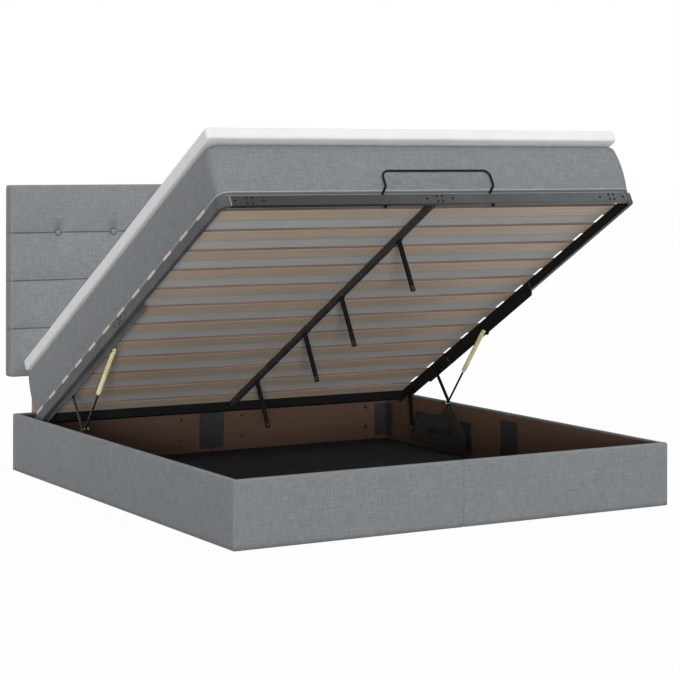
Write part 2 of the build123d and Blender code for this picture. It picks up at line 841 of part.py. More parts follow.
def link(side, fixed_end, moving_end, width):
    """A flat link with a hole for the fixed stud and its own pin toward the deck."""
    length, turn = span(fixed_end, moving_end)
    start, thick = lane(base_side, side, link_x, link_x + link_thick)
    middle = (Vector(*fixed_end) + Vector(*moving_end)) / 2
    head_near = link_x - pivot_head_height
    with BuildPart() as part:
        with BuildSketch(start):
            with Locations(middle):
                SlotCenterToCenter(length, width, rotation=turn)
            with Locations(fixed_end):
                Circle(pivot_radius + pivot_clearance, mode=Mode.SUBTRACT)
        extrude(amount=thick)
        pivot_stud(base_side, side, moving_end, link_x, moving_plate_x - touch_gap, pivot_radius)
        pivot_stud(base_side, side, moving_end, head_near, link_x, pivot_head_radius)
    return part.part


# Gas springs: a rod from the fixed front pivot, and a body that slides on it
strut_length, strut_turn = span(front_anchor, strut_open)
strut_stroke = strut_length - span(front_anchor, strut_shut)[0]
strut_along = (0, cos(radians(strut_turn)), sin(radians(strut_turn)))
strut_line = Plane(origin=(0, *front_anchor), x_dir=(1, 0, 0), z_dir=strut_along)
body_end = strut_length - strut_eye_reach
body_start = body_end - strut_body_length
rod_hole = strut_rod_radius + pivot_clearance


def strut_side(x):
    """A side view plane with its origin on the front pivot and X along the gas spring."""
    return Plane(origin=(x, *front_anchor), x_dir=strut_along, z_dir=(1, 0, 0))


def strut_eye(side, distance, hole):
    start, thick = lane(strut_side, side, strut_eye_near, strut_eye_far)
    with BuildSketch(start) as eye:
        with Locations((distance, 0)):
            Circle(strut_eye_radius)
            if hole:
                Circle(hole, mode=Mode.SUBTRACT)
    extrude(eye.sketch, amount=thick)


def strut_round(side, start, length, radius, mode=Mode.ADD):
    """A round length along the gas spring, measured from the front pivot."""
    with BuildSketch(strut_line.offset(start)) as disc:
        with Locations((side * strut_x, 0)):
            Circle(radius)
    extrude(disc.sketch, amount=length, mode=mode)


def strut_rod(side):
    rod_start = strut_eye_radius - strut_rod_radius / 2
    with BuildPart() as rod:
        strut_round(side, rod_start, body_start + strut_rod_inside - rod_start, strut_rod_radius)
        strut_eye(side, 0, pivot_radius + pivot_clearance)
    return rod.part


def strut_cylinder(side):
    """The spring's body, hollow for the rod, with an eye and a pin toward the deck."""
    neck_start = body_start - strut_neck_length
    hole_depth = overrun + strut_neck_length + strut_rod_inside + strut_stroke + strut_rod_radius
    with BuildPart() as cylinder:
        strut_round(side, neck_start, strut_neck_length, strut_neck_radius)
        strut_round(side, body_start, strut_body_length, strut_radius)
        strut_round(side, body_end, strut_eye_reach - strut_eye_radius / 2, strut_rod_radius)
        strut_eye(side, strut_length, 0)
        strut_round(side, neck_start - overrun, hole_depth, rod_hole, Mode.SUBTRACT)
        pin_tip = link_x - touch_gap
        pivot_stud(base_side, side, strut_open, strut_eye_far, pin_tip, pivot_radius)
    return cylinder.part


def moving_bracket(side):
    """A long plate on the inside of the side tube, with room for the three pivots."""
    low = deck_bottom - plate_drop
    high = deck_top - plate_top_inset
    foot_end = strut_shut[0] - plate_foot_reach
    head_end = rear_shut[0] + plate_head_reach
    neck_y = front_shut[0] + plate_neck_reach
    plate = [
        (foot_end, high),
        (foot_end, low + plate_neck_rise),
        (foot_end + plate_neck_rise, low),
        (neck_y, low),
        (neck_y + plate_neck_rise, low + plate_neck_rise),
        (head_end, low + plate_neck_rise),
        (head_end, high),
    ]
    start, thick = lane(deck_side, side, moving_plate_x, deck_inner_x)
    with BuildPart() as bracket:
        with BuildSketch(start):
            Polygon(*plate, align=None)
            with Locations(strut_shut, rear_shut):
                Circle(plate_lobe_radius)
            with Locations((front_shut[0] - plate_window_inset, (low + high) / 2)):
                Circle(plate_window_radius, mode=Mode.SUBTRACT)
        extrude(amount=thick)
    return bracket.part


for side in (-1, 1):
    name = side_name(side)
    save(fixed_bracket(side), f"fixed_bracket_{name}")
    save(link(side, front_anchor, front_open, link_width), f"front_link_{name}")
    save(link(side, rear_anchor, rear_open, rear_link_width), f"rear_link_{name}")
    save(strut_rod(side), f"strut_rod_{name}")
    save(strut_cylinder(side), f"strut_cylinder_{name}")
    save(moving_bracket(side), f"moving_bracket_{name}")

plate_middle_z = (deck_bottom - plate_drop + deck_top - plate_top_inset) / 2
plate_foot_end = strut_shut[0] - plate_foot_reach
bolt_ys = [plate_foot_end + inset for inset in plate_bolt_insets]
bolt_ys.append(rear_shut[0] + plate_head_reach - plate_bolt_insets[0] / 2)
with BuildPart() as deck_pivots:
    for side in (-1, 1):
        pivot_stud(deck_side, side, strut_shut, link_x, moving_plate_x, pivot_head_radius)
        for bolt_y in bolt_ys:
            place = (bolt_y, plate_middle_z)
            bolt_near = moving_plate_x - plate_bolt_height
            pivot_stud(deck_side, side, place, bolt_near, moving_plate_x, plate_bolt_radius)
save(deck_pivots.part, "deck_pivots")
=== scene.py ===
import json
from math import cos, pi, radians, sin, sqrt

import bpy
import numpy as np
from bpy.props import FloatProperty, FloatVectorProperty, IntProperty, PointerProperty
from mathutils import Matrix, Vector


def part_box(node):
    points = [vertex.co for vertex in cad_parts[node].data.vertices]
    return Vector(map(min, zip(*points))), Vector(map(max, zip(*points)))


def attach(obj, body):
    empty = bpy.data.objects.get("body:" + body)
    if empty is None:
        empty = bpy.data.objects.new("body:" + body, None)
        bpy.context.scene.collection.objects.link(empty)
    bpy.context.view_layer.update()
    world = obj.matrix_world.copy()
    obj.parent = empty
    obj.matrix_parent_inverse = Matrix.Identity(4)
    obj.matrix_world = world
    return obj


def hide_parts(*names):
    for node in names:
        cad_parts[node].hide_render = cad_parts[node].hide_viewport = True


bl_info = {
    "name": "Ottoman storage bed",
    "version": (1, 0, 0),
    "blender": (4, 5, 0),
    "location": "View3D > Sidebar > Bed",
    "description": "Dresses the packed bed frame with cloth, padding, wood and steel finishes",
    "category": "Object",
}

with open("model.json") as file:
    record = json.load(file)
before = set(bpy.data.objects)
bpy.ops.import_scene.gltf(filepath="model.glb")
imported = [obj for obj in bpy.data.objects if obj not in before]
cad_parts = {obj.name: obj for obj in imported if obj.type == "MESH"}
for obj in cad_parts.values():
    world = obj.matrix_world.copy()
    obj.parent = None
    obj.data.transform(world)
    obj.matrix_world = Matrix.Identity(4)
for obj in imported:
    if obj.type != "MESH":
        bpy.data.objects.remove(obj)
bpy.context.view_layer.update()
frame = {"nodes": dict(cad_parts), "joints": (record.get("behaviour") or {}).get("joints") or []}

# The deck stands open about this hinge; its soft pieces are modelled as they lie when shut
lift_hinge = next(joint for joint in frame["joints"] if joint["name"] == "platform_lift")
swing_centre = Vector(lift_hinge["pos_m"])
lift_angle = radians(lift_hinge["range_deg"][1])
opened = (
    Matrix.Translation(swing_centre)
    @ Matrix.Rotation(-lift_angle, 4, "X")
    @ Matrix.Translation(-swing_centre)
)


def shut_box(node):
    """Lowest and highest corner of a deck node as it lies when shut."""
    shut = opened.inverted()
    points = np.array([shut @ vertex.co for vertex in frame["nodes"][node].data.vertices])
    return Vector(points.min(0)), Vector(points.max(0))


def length(name, text, default):
    """A length that a user may change, in metres."""
    return FloatProperty(
        name=name, description=text, default=default, unit="LENGTH", subtype="DISTANCE",
        precision=4
    )


def colour(name, text, default):
    """A colour that a user may change."""
    return FloatVectorProperty(
        name=name, description=text, default=default, subtype="COLOR", size=3, min=0, max=1
    )


class BedSizes(bpy.types.PropertyGroup):
    """Sizes of the cloth, the padding and the drilled holes"""

    cell: length("Cloth cell", "Size of the faces that the padded pieces are made of", 0.016)
    cloth_thick: length("Cloth", "Thickness of the upholstery cloth on the rails", 0.0014)
    rail_puff: length("Rail padding", "How far the cloth stands out midway on a rail", 0.0012)
    rail_top_round: length("Rail edge", "Rounding of a rail's outer top edge", 0.008)
    rail_end_round: length("Rail end", "Rounding of a rail's outer upright edges", 0.0045)
    fold_depth: length("Fold", "How far the cloth is folded over inside a rail", 0.006)
    headboard_round: length("Headboard edge", "Rounding of the headboard's front edges", 0.011)
    band_count: IntProperty(name="Bands", description="Padded bands of the headboard", default=4)
    band_depth: length("Band seam", "Depth of the seams between the bands", 0.0085)
    dimple_depth: length("Dimple", "How far a button pulls the padding in", 0.0135)
    pad_swell: length("Pad swell", "Most that a band may swell in the cloth simulation", 0.004)
    pad_pressure: FloatProperty(name="Pad pressure", description="Air in the pads", default=4.0)
    padding_depth: length("Padding", "Most that the padding may be drawn in", 0.0118)
    dimple_radius: length("Dimple reach", "How far from a button the padding is drawn in", 0.038)
    button_radius: length("Button", "Radius of a covered button", 0.012)
    mattress_corner: length("Mattress corner", "Radius of the mattress's upright corners", 0.04)
    mattress_foot_edge: length("Mattress foot", "Rounding of the mattress's lower edges", 0.014)
    mattress_edge: length("Mattress top edge", "Rounding of the mattress's upper edges", 0.025)
    mattress_bulge: length("Mattress bulge", "How far the mattress's sides swell", 0.008)
    welt_height: length("Welt height", "Height of the welt over the mattress's base", 0.0085)
    welt_radius: length("Welt", "Radius of the welt round the mattress", 0.0026)
    side_holes: length("Side holes", "From the deck's foot to the holes in a side tube", 0.965)
    end_holes: length("End holes", "From the foot tube's end to its outer holes", 0.0705)
    hole_run: length("Hole run", "Distance along a tube between the inner holes", 0.022)
    hole_rise: length("Hole rise", "Distance across a tube between the inner holes", 0.02)
    hole_spread: length("Hole spread", "Distance along a tube between the outer holes", 0.112)
    # the dark strips inside the tubes stand in for the shade in them: painted shade
    shade_strip_thick: length("Shade strip", "Thickness of the dark strips inside the tubes", 0.001)
    liner_reach: length("Liner reach", "Half the length of the strips inside the tubes", 0.07)
    topper_corner: length("Topper corner", "Radius of the topper's upright corners", 0.016)
    topper_edge: length("Topper edge", "Rounding of the topper's long edges", 0.008)


class BedColours(bpy.types.PropertyGroup):
    """Colours of the bed's finishes"""

    cloth: colour("Cloth", "Upholstery and mattress cloth", (0.236, 0.251, 0.263))
    lining: colour("Mattress base", "Cloth under the mattress", (0.51, 0.52, 0.525))
    welt: colour("Welt", "Piping round the foot of the mattress", (0.4, 0.42, 0.43))
    topper: colour("Topper", "Cover of the topper", (0.87, 0.87, 0.87))
    slat: colour("Slats", "Wide faces of the slats", (0.6, 0.49, 0.385))
    slat_edge: colour("Slat edges", "Long narrow faces of the slats", (0.24, 0.165, 0.125))
    slat_end: colour("Slat ends", "Cut ends of the slats", (0.7, 0.59, 0.52))
    board: colour("Boards", "Raw boards inside the base", (0.142, 0.08, 0.055))
    floor_board: colour("Floor", "Floor of the storage space", (0.028, 0.031, 0.034))
    batten: colour("Battens", "Wood of the headboard", (0.45, 0.3, 0.17))
    deck_steel: colour("Foot tube", "Coating of the foot tube", (0.085, 0.089, 0.092))
    side_steel: colour("Side tubes", "Coating of the side tubes", (0.098, 0.103, 0.105))
    plate_steel: colour("Plate steel", "Plates and brackets on rails", (0.046, 0.045, 0.044))
    black_steel: colour("Black steel", "Coating of the links and rods", (0.008, 0.0084, 0.0088))
    strut: colour("Gas spring", "Body of the gas springs", (0.84, 0.76, 0.45))
    brass: colour("Brass", "Pivot nuts", (0.6, 0.47, 0.3))


# Shader maths

class Wire:
    """A shader socket. Arithmetic on it adds Math nodes."""

    def __init__(self, nodes, socket):
        self.nodes = nodes
        self.socket = socket

    def math(self, operation, *values):
        return self.nodes.node("ShaderNodeMath", {"operation": operation}, dict(enumerate(values)))

    def __add__(self, other):
        return self.math("ADD", self, other)

    def __radd__(self, other):
        return self.math("ADD", other, self)

    def __sub__(self, other):
        return self.math("SUBTRACT", self, other)

    def __rsub__(self, other):
        return self.math("SUBTRACT", other, self)

    def __mul__(self, other):
        return self.math("MULTIPLY", self, other)

    def __rmul__(self, other):
        return self.math("MULTIPLY", other, self)

    def __pow__(self, other):
        return self.math("POWER", self, other)

    def __rpow__(self, other):
        return self.math("POWER", other, self)

    def __abs__(self):
        return self.math("ABSOLUTE", self)

    def ramp(self, low, high, start=0.0, end=1.0):
        """Runs smoothly from start to end while this value runs from low to high."""
        settings = {"interpolation_type": "SMOOTHSTEP"}
        values = {"Value": self, "From Min": low, "From Max": high, "To Min": start, "To Max": end}
        return self.nodes.node("ShaderNodeMapRange", settings, values)


class Nodes:
    """A node tree that is filled one node at a time."""

    def __init__(self, tree):
        self.tree = tree

    def join(self, value, socket):
        """Links a wire to a socket, or sets the socket to a number, vector or colour."""
        if isinstance(value, Wire):
            self.tree.links.new(value.socket, socket)
        elif hasattr(value, "__len__") and socket.type == "RGBA":
            socket.default_value = (*value, 1.0)[:4]
        else:
            socket.default_value = value

    def node(self, kind, settings=None, values=None, output=0):
        """A new node: its settings are made first, then the values or links of its sockets."""
        made = self.tree.nodes.new(kind)
        for name, value in (settings or {}).items():
            setattr(made, name, value)
        for name, value in (values or {}).items():
            self.join(value, made.inputs[name])
        return Wire(self, made.outputs[output])

    def seen_by(self, *rays):
        """For each kind of ray, 1 where it is what looks and otherwise 0."""
        return [self.node("ShaderNodeLightPath", output=f"Is {ray} Ray") for ray in rays]


class Finish(Nodes):
    """A material whose nodes are added one by one."""

    def __init__(self, name, **surface):
        self.material = bpy.data.materials.new(name)
        self.material.use_nodes = True
        super().__init__(self.material.node_tree)
        self.shader = self.tree.nodes["Principled BSDF"]
        self.set(**surface)

    def set(self, **surface):
        """Joins values to the shader's sockets, named in lower case with underscores."""
        sockets = {socket.name.lower().replace(" ", "_"): socket for socket in self.shader.inputs}
        for name, value in surface.items():
            self.join(value, sockets[name])

    def place(self, turn=0.0):
        """Position on the piece as modelled; turn lays a deck node's position down as when shut."""
        return self.turned(self.node("ShaderNodeTexCoord", output="Object"), turn)

    def turned(self, vector, turn):
        """A vector turned about X."""
        settings = {"rotation_type": "X_AXIS"}
        values = {"Vector": vector, "Center": (0, 0, 0), "Angle": turn}
        return self.node("ShaderNodeVectorRotate", settings, values) if turn else vector

    def normal(self):
        """The surface's direction, on the piece as modelled."""
        return self.node("ShaderNodeTexCoord", output="Normal")

    def facing(self, turn=0.0):
        """How far the surface faces X, Y and Z, each from 0 to 1."""
        normal = self.turned(self.normal(), turn)
        return [self.split(normal, axis) ** 2 for axis in range(3)]

    def outward(self, place, axes):
        """Over 0 where the surface faces away from the bed's middle, under 0 where it faces it."""
        normal = self.normal()
        shares = [self.split(place, axis) * self.split(normal, axis) for axis in axes]
        return sum(shares[1:], shares[0])

    def split(self, vector, axis):
        """One coordinate of a vector."""
        return self.node("ShaderNodeSeparateXYZ", {}, {"Vector": vector}, axis)

    def scaled(self, vector, scale):
        """A vector with each coordinate scaled by its own share."""
        return self.node("ShaderNodeVectorMath", {"operation": "MULTIPLY"}, {0: vector, 1: scale})

    def distance(self, first, second):
        """How far apart two positions lie."""
        values = {0: first, 1: second}
        return self.node("ShaderNodeVectorMath", {"operation": "DISTANCE"}, values, "Value")

    def noise(self, vector, scale, detail, stretch=(1, 1, 1), roughness=0.5):
        values = {"Scale": scale, "Detail": detail, "Roughness": roughness}
        values["Vector"] = self.scaled(vector, stretch)
        return self.node("ShaderNodeTexNoise", {}, values, "Fac")

    def mix(self, share, first, second):
        """A colour between two colours."""
        values = {"Factor": share, 6: first, 7: second}
        return self.node("ShaderNodeMix", {"data_type": "RGBA"}, values, 2)

    def bump(self, height, distance, strength, under=None):
        values = {"Height": height, "Distance": distance, "Strength": strength}
        if under:
            values["Normal"] = under
        return self.node("ShaderNodeBump", {}, values)


# Finishes

# The cloth is darkened as painted shade round a point this far above each button
FOLD_SHADE_OVER_BUTTON = Vector((0, 0, 0.03))  # from a button to the fold that it pulls above it


def shade(tone, share):
    """The same colour, lighter or darker."""
    return tuple(min(1.0, value * share) for value in tone)


def thread_noise(finish, place, facing, along, across, detail):
    """Threads in both directions of whichever face of the piece is seen."""
    total = 0
    for axis in range(3):
        stretch = [across] * 3
        stretch[axis] = along
        streaks = finish.noise(place, 1.0, detail, tuple(stretch))
        total = total + (1 - facing[axis]) * (streaks - 0.5)
    return total


def woven(name, tone, base=None, base_height=0.0, seams=(), tufts=(), backing=None, lip=0.0):
    """Linen-like cloth with slubs that run both ways.

    Below base_height it is the base cloth, its sides darkened as painted shade. The cloth is
    darkened as painted shade in the seams, which lie level at the heights given, and above and
    round a button at each of the tufts, where it is drawn in. Where it faces the middle of the
    bed its backing shows below the height lip, and above the lip the cloth is darkened as
    painted shade.
    """
    finish = Finish(
        name, roughness=0.92, sheen_weight=0.1, sheen_roughness=0.5, specular_ior_level=0.2
    )
    place, facing = finish.place(), finish.facing()
    height = finish.split(place, 2)
    slubs = thread_noise(finish, place, facing, along=22.0, across=300.0, detail=2.0)
    threads = thread_noise(finish, place, facing, along=130.0, across=1200.0, detail=1.0)
    cloud = finish.noise(place, 7.0, 3.0) - 0.5
    light = (slubs * 1.5 + threads * 0.9 + cloud * 0.3) * 1.25 + 0.5
    cloth = finish.mix(light.ramp(0.12, 0.9), shade(tone, 0.87), shade(tone, 1.13))
    blur = 0.001
    if base:
        lined = finish.mix(cloud.ramp(-0.3, 0.3), shade(base, 0.96), shade(base, 1.04))
        # painted shade: the lining's sides are darker than its underside
        lined = finish.mix(facing[2].ramp(0.75, 0.97), shade(base, 0.32), lined)
        cloth = finish.mix(height.ramp(base_height - blur, base_height + blur), lined, cloth)
    # painted shade in the seams between the bands
    for seam in seams:
        away = abs(height - seam).ramp(0.001, 0.0038)
        cloth = finish.mix(away, shade(tone, 0.55), cloth)
    for tuft in tufts:
        # painted shade of the fold pulled above the button
        fold = finish.distance(place, tuft + FOLD_SHADE_OVER_BUTTON)
        cloth = finish.mix(fold.ramp(0.004, 0.036, 0.4), shade(tone, 0.62), cloth)
        # painted shade in a ring round the button
        rim = finish.distance(place, tuft)
        cloth = finish.mix(rim.ramp(0.0115, 0.02), shade(tone, 0.28), cloth)
    if backing:
        # facing the middle: the cloth's back below the lip, and above it the cloth darkened as
        # painted shade
        folded = height.ramp(lip - blur, lip + blur)
        inner = finish.mix(folded, backing, shade(tone, 0.7))
        cloth = finish.mix(finish.outward(place, (0, 1)).ramp(-0.5, -0.3), inner, cloth)
    finish.set(base_color=cloth, normal=finish.bump(slubs * 0.6 + threads, 0.0008, 0.25))
    return finish.material


def knitted(name, tone):
    """Smooth white knit of the topper with a faint quilted cloud."""
    finish = Finish(name, roughness=0.85, sheen_weight=0.15, specular_ior_level=0.3)
    place, facing = finish.place(), finish.facing()
    threads = thread_noise(finish, place, facing, along=200.0, across=900.0, detail=1.0)
    cloud = finish.noise(place, 9.0, 3.0)
    finish.set(
        base_color=finish.mix(cloud.ramp(0.3, 0.7), shade(tone, 0.97), shade(tone, 1.02)),
        normal=finish.bump(threads, 0.0005, 0.4, finish.bump(cloud, 0.004, 0.35)),
    )
    return finish.material


def timber(name, tone, grain=(1.4, 60, 60), turn=0.0, edge=None, end=None, roughness=0.6):
    """Wood with a grain, and for plywood slats other colours on their long edges and ends."""
    finish = Finish(name, roughness=roughness, specular_ior_level=0.35)
    place = finish.place(turn)
    rings = finish.noise(place, 1.0, 4.0, grain, 0.62)
    pores = finish.noise(place, 1.0, 2.0, tuple(share * 6 for share in grain), 0.7)
    patches = finish.noise(place, 3.0, 2.0)
    tint = rings * 0.6 + pores * 0.25 + patches * 0.3
    wood = finish.mix(tint.ramp(0.35, 0.85), shade(tone, 0.88), shade(tone, 1.12))
    if edge:
        facing = finish.facing(turn)
        plies = finish.noise(place, 1.0, 1.0, (3, 3, 420)).ramp(0.35, 0.65)
        long_edge = finish.mix(plies, shade(edge, 0.75), shade(edge, 1.25))
        cut_end = finish.mix(plies, shade(end, 0.8), shade(end, 1.15))
        wood = finish.mix(facing[1].ramp(0.3, 0.7), wood, long_edge)
        wood = finish.mix(facing[0].ramp(0.3, 0.7), wood, cut_end)
    finish.set(
        base_color=wood,
        roughness=pores * 0.2 + (roughness - 0.1),
        normal=finish.bump(rings + pores, 0.0006, 0.35),
    )
    return finish.material


def coated(name, tone, roughness, peel_share=1.0, inner_shade_share=1.0, gloss=0.3, painted_reflection=False,
           holes=(), seen_along=None):
    """Powder-coated steel: a fine orange peel, dust, a few scuffs and inner sides darkened as
    painted shade.

    The coat can grow lighter from the left to the right, as a painted reflection. The rims of
    holes are darkened as painted shade; the holes are given as the deck lies when shut and run
    along the axis seen_along.
    """
    finish = Finish(name, specular_ior_level=gloss)
    place = finish.place()
    peel = finish.noise(place, 420.0, 2.0)
    dust = finish.noise(place, 14.0, 5.0)
    scuffs = finish.noise(place, 1.0, 3.0, (60, 20, 60), 0.75)
    coat = finish.mix(dust.ramp(0.35, 0.75), shade(tone, 0.88), shade(tone, 1.22))
    # painted reflection: the coat grows lighter from left to right
    if painted_reflection:
        coat = finish.mix(finish.split(place, 0).ramp(-0.9, 0.9), shade(tone, 0.34), coat)
    # painted shade on the sides that face the middle of the bed
    if inner_shade_share < 1:
        outward = finish.outward(place, (0,)).ramp(-0.5, -0.2)
        coat = finish.mix(outward, shade(tone, inner_shade_share), coat)
    # painted shade round the rims of the holes
    if holes:
        apart = Vector((1, 1, 1)) - seen_along
        flat = finish.scaled(finish.turned(place, lift_angle), apart)
        for hole in holes:
            reach = finish.distance(flat, hole * apart)
            coat = finish.mix(reach.ramp(0.004, 0.0065), shade(tone, 0.08), coat)
    finish.set(
        base_color=coat,
        roughness=dust * 0.16 + scuffs.ramp(0.55, 0.75, 0.0, 0.12) + (roughness - 0.08),
        normal=finish.bump(peel, 0.0004, 0.12 * peel_share),
    )
    return finish.material


def bare_metal(name, tone, shaded_within=0.0):
    """Bright steel or brass, darkened as painted shade where it lies within this distance of the
    middle.
    """
    finish = Finish(name, metallic=1.0)
    place = finish.place()
    brushed = finish.noise(place, 1.0, 2.0, (900, 900, 60))
    tarnish = finish.noise(place, 40.0, 4.0)
    metal = finish.mix(tarnish.ramp(0.3, 0.8), shade(tone, 0.75), tone)
    if shaded_within:
        bright = abs(finish.split(place, 0)).ramp(shaded_within - 0.002, shaded_within)
        metal = finish.mix(bright, shade(tone, 0.03), metal)
    finish.set(
        base_color=metal,
        roughness=brushed * 0.18 + 0.25,
        normal=finish.bump(brushed, 0.0002, 0.2),
    )
    return finish.material


def moulded(name, tone):
    """Dark plastic with a fine grain, paler where it is worn."""
    finish = Finish(name, specular_ior_level=0.45)
    place = finish.place()
    grain = finish.noise(place, 700.0, 2.0)
    worn = finish.noise(place, 25.0, 3.0)
    finish.set(
        base_color=finish.mix(worn.ramp(0.4, 0.7), tone, shade(tone, 1.5)),
        roughness=worn * 0.2 + 0.4,
        normal=finish.bump(grain, 0.0003, 0.3),
    )
    return finish.material


def fibre_board(name, tone):
    """Dark fibre board, as on the floor of the storage space."""
    finish = Finish(name, roughness=0.9, specular_ior_level=0.2)
    place = finish.place()
    fibres = finish.noise(place, 260.0, 4.0, roughness=0.7)
    cloud = finish.noise(place, 5.0, 3.0)
    patches = (fibres * 0.7 + cloud * 0.4).ramp(0.35, 0.8)
    finish.set(
        base_color=finish.mix(patches, shade(tone, 0.7), shade(tone, 1.5)),
        normal=finish.bump(fibres, 0.0006, 0.4),
    )
    return finish.material


def dress(material, *nodes):
    """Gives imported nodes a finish."""
    for node in nodes:
        data = frame["nodes"][node].data
        data.materials.clear()
        data.materials.append(material)


def nodes_named(*starts):
    """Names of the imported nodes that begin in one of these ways."""
    return [node for node in frame["nodes"] if node.startswith(starts)]


# Meshes

ARC_STEPS = 4  # points round a small corner
WELT_SIDES = 8  # sides of the welt's round section


def make_piece(name, points, faces, material, body, place=None, smooth=True):
    """A mesh object that rides on a body; place moves it from where it is modelled."""
    data = bpy.data.meshes.new(name)
    data.from_pydata([tuple(point) for point in points], [], faces)
    data.update()
    data.materials.append(material)
    data.polygons.foreach_set("use_smooth", [smooth] * len(data.polygons))
    piece = bpy.data.objects.new(name, data)
    bpy.context.scene.collection.objects.link(piece)
    if place is not None:
        piece.matrix_world = place
    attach(piece, body)
    return piece


def ripple(points, scale, seed):
    """Smooth values from about -1 to 1 that wander over the points, the same each run."""
    random = np.random.default_rng(seed)
    total = np.zeros(len(points))
    for _ in range(5):
        direction = random.normal(size=3)
        direction = direction / np.linalg.norm(direction)
        reach = scale * random.uniform(0.6, 1.6)
        total += np.sin(points @ direction * 2 * pi / reach + random.uniform(0, 2 * pi))
    return total / 3


def steps(start, end, cell):
    """Evenly spaced values from start to end, about a cell apart."""
    count = max(2, int(round(abs(end - start) / cell)))
    return list(np.linspace(start, end, count + 1))


def quarter(count, first=0):
    """Angles over a quarter turn, in count steps."""
    return [radians(90) * share / count for share in range(first, count + 1)]


def rounded_grid(half_x, half_y, corner, cell):
    """A grid of points that fills a rectangle with round corners, as (columns, rows, points)."""
    def marks(half):
        inner = steps(-half + corner, half - corner, cell)
        arc = [corner * share / ARC_STEPS for share in range(ARC_STEPS)]
        return [-half + step for step in arc] + inner + [half - step for step in reversed(arc)]

    columns, rows = marks(half_x), marks(half_y)
    points = []
    for y in rows:
        for x in columns:
            u = max(0.0, (abs(x) - half_x + corner) / corner)
            v = max(0.0, (abs(y) - half_y + corner) / corner)
            new_x, new_y = abs(x), abs(y)
            if u > 0 and v > 0:
                new_x = half_x - corner + corner * u * sqrt(1 - v * v / 2)
                new_y = half_y - corner + corner * v * sqrt(1 - u * u / 2)
            points.append((new_x if x > 0 else -new_x, new_y if y > 0 else -new_y))
    return len(columns), len(rows), np.array(points)


def border(columns, rows):
    """Indices round the edge of a grid, anticlockwise from its first corner."""
    low = list(range(columns))
    right = [row * columns + columns - 1 for row in range(1, rows)]
    high = [(rows - 1) * columns + column for column in range(columns - 2, -1, -1)]
    left = [row * columns for row in range(rows - 2, 0, -1)]
    return low + right + high + left


def grid_faces(columns, rows, first, flip=False):
    """Faces of a grid of points whose first point has this index."""
    faces = []
    for row in range(rows - 1):
        for column in range(columns - 1):
            corner = first + row * columns + column
            face = (corner, corner + 1, corner + columns + 1, corner + columns)
            faces.append(face[::-1] if flip else face)
    return faces


def ring_faces(lower, upper, flip=False):
    """Faces between two closed rings of indices."""
    faces = []
    for index in range(len(lower)):
        following = (index + 1) % len(lower)
        near, far = (following, index) if flip else (index, following)
        faces.append((lower[near], lower[far], upper[far], upper[near]))
    return faces


def cushion_mesh(half_x, half_y, corner, cell, profile):
    """A closed pad with two flat faces; profile lists (height, inset) up its sides."""
    columns, rows, outline = rounded_grid(half_x, half_y, corner, cell)
    edge = border(columns, rows)
    points, faces, rings = [], [], []
    for level, (height, inset) in enumerate(profile):
        shape = outline * np.array([(half_x - inset) / half_x, (half_y - inset) / half_y])
        first = len(points)
        if level in (0, len(profile) - 1):
            points += [(x, y, height) for x, y in shape]
            faces += grid_faces(columns, rows, first, flip=level == 0)
            rings.append([first + index for index in edge])
        else:
            points += [(*shape[index], height) for index in edge]
            rings.append(list(range(first, first + len(edge))))
    for lower, upper in zip(rings, rings[1:]):
        faces += ring_faces(lower, upper)
    return np.array(points), faces


def tube_along(points, radius):
    """Points and faces of a closed tube that follows a closed loop of points."""
    up = np.array((0, 0, 1))
    made, rings = [], []
    for index, point in enumerate(points):
        ahead = points[(index + 1) % len(points)] - points[index - 1]
        out = np.cross(ahead / np.linalg.norm(ahead), up)
        rings.append(range(len(made), len(made) + WELT_SIDES))
        for side in range(WELT_SIDES):
            turn = 2 * pi * side / WELT_SIDES
            made.append(point + radius * (cos(turn) * out + sin(turn) * up))
    faces = []
    for ring, following in zip(rings, rings[1:] + rings[:1]):
        faces += ring_faces(ring, following)
    return made, faces


# How the pads' cloth behaves in the simulation
SWELL_FRAMES = 20
CLOTH = {
    "quality": 4, "mass": 0.4, "tension_stiffness": 30, "compression_stiffness": 20,
    "bending_stiffness": 1.5, "use_pressure": True,
}


def puffed(piece, pressure, cap, held):
    """Swells a pad as cloth under air pressure, and applies it.

    The held points stay where they are, and no other moves further than the cap.
    """
    start = np.array([vertex.co for vertex in piece.data.vertices])
    group = piece.vertex_groups.new(name="held")
    group.add([int(index) for index in held], 1.0, "REPLACE")
    cloth = piece.modifiers.new("Cloth", "CLOTH")
    for name, value in CLOTH.items():
        setattr(cloth.settings, name, value)
    cloth.settings.uniform_pressure_force = pressure
    cloth.settings.effector_weights.gravity = 0.0
    cloth.settings.vertex_group_mass = "held"
    cloth.collision_settings.use_collision = False
    for number in range(1, SWELL_FRAMES + 1):
        bpy.context.scene.frame_set(number)
    evaluated = piece.evaluated_get(bpy.context.evaluated_depsgraph_get())
    moved = np.array([vertex.co for vertex in evaluated.data.vertices]) - start
    bpy.context.scene.frame_set(1)
    piece.modifiers.remove(cloth)
    reach = np.linalg.norm(moved, axis=1, keepdims=True)
    moved = moved * np.minimum(1.0, cap / np.maximum(reach, 1e-9))
    piece.data.vertices.foreach_set("co", (start + moved).ravel())
    piece.data.update()


# Rails

# The axis that each rail is thick along, and whether its outside faces down or up that axis
RAIL_SIDES = {"left_rail": (0, -1), "right_rail": (0, 1), "foot_rail": (1, -1), "head_rail": (1, 1)}
INNER_ROUND = 0.4  # the inner edge's rounding as a share of the outer edge's
END_MARKS = (0.6, 0.3)  # points across a rail's end, as shares of its thickness
RAIL_CROWN = {"along": 0.35, "up": 0.5}  # powers of the sine that the cloth's crown follows
RAIL_PUCKER = {"depth": 0.00045, "length": 0.021, "reach": 0.022, "slant": 9}
RAIL_WANDER = {"depth": 0.0005, "length": 0.33}
RAIL_DRAWN = 0.0012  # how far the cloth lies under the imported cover's outer face


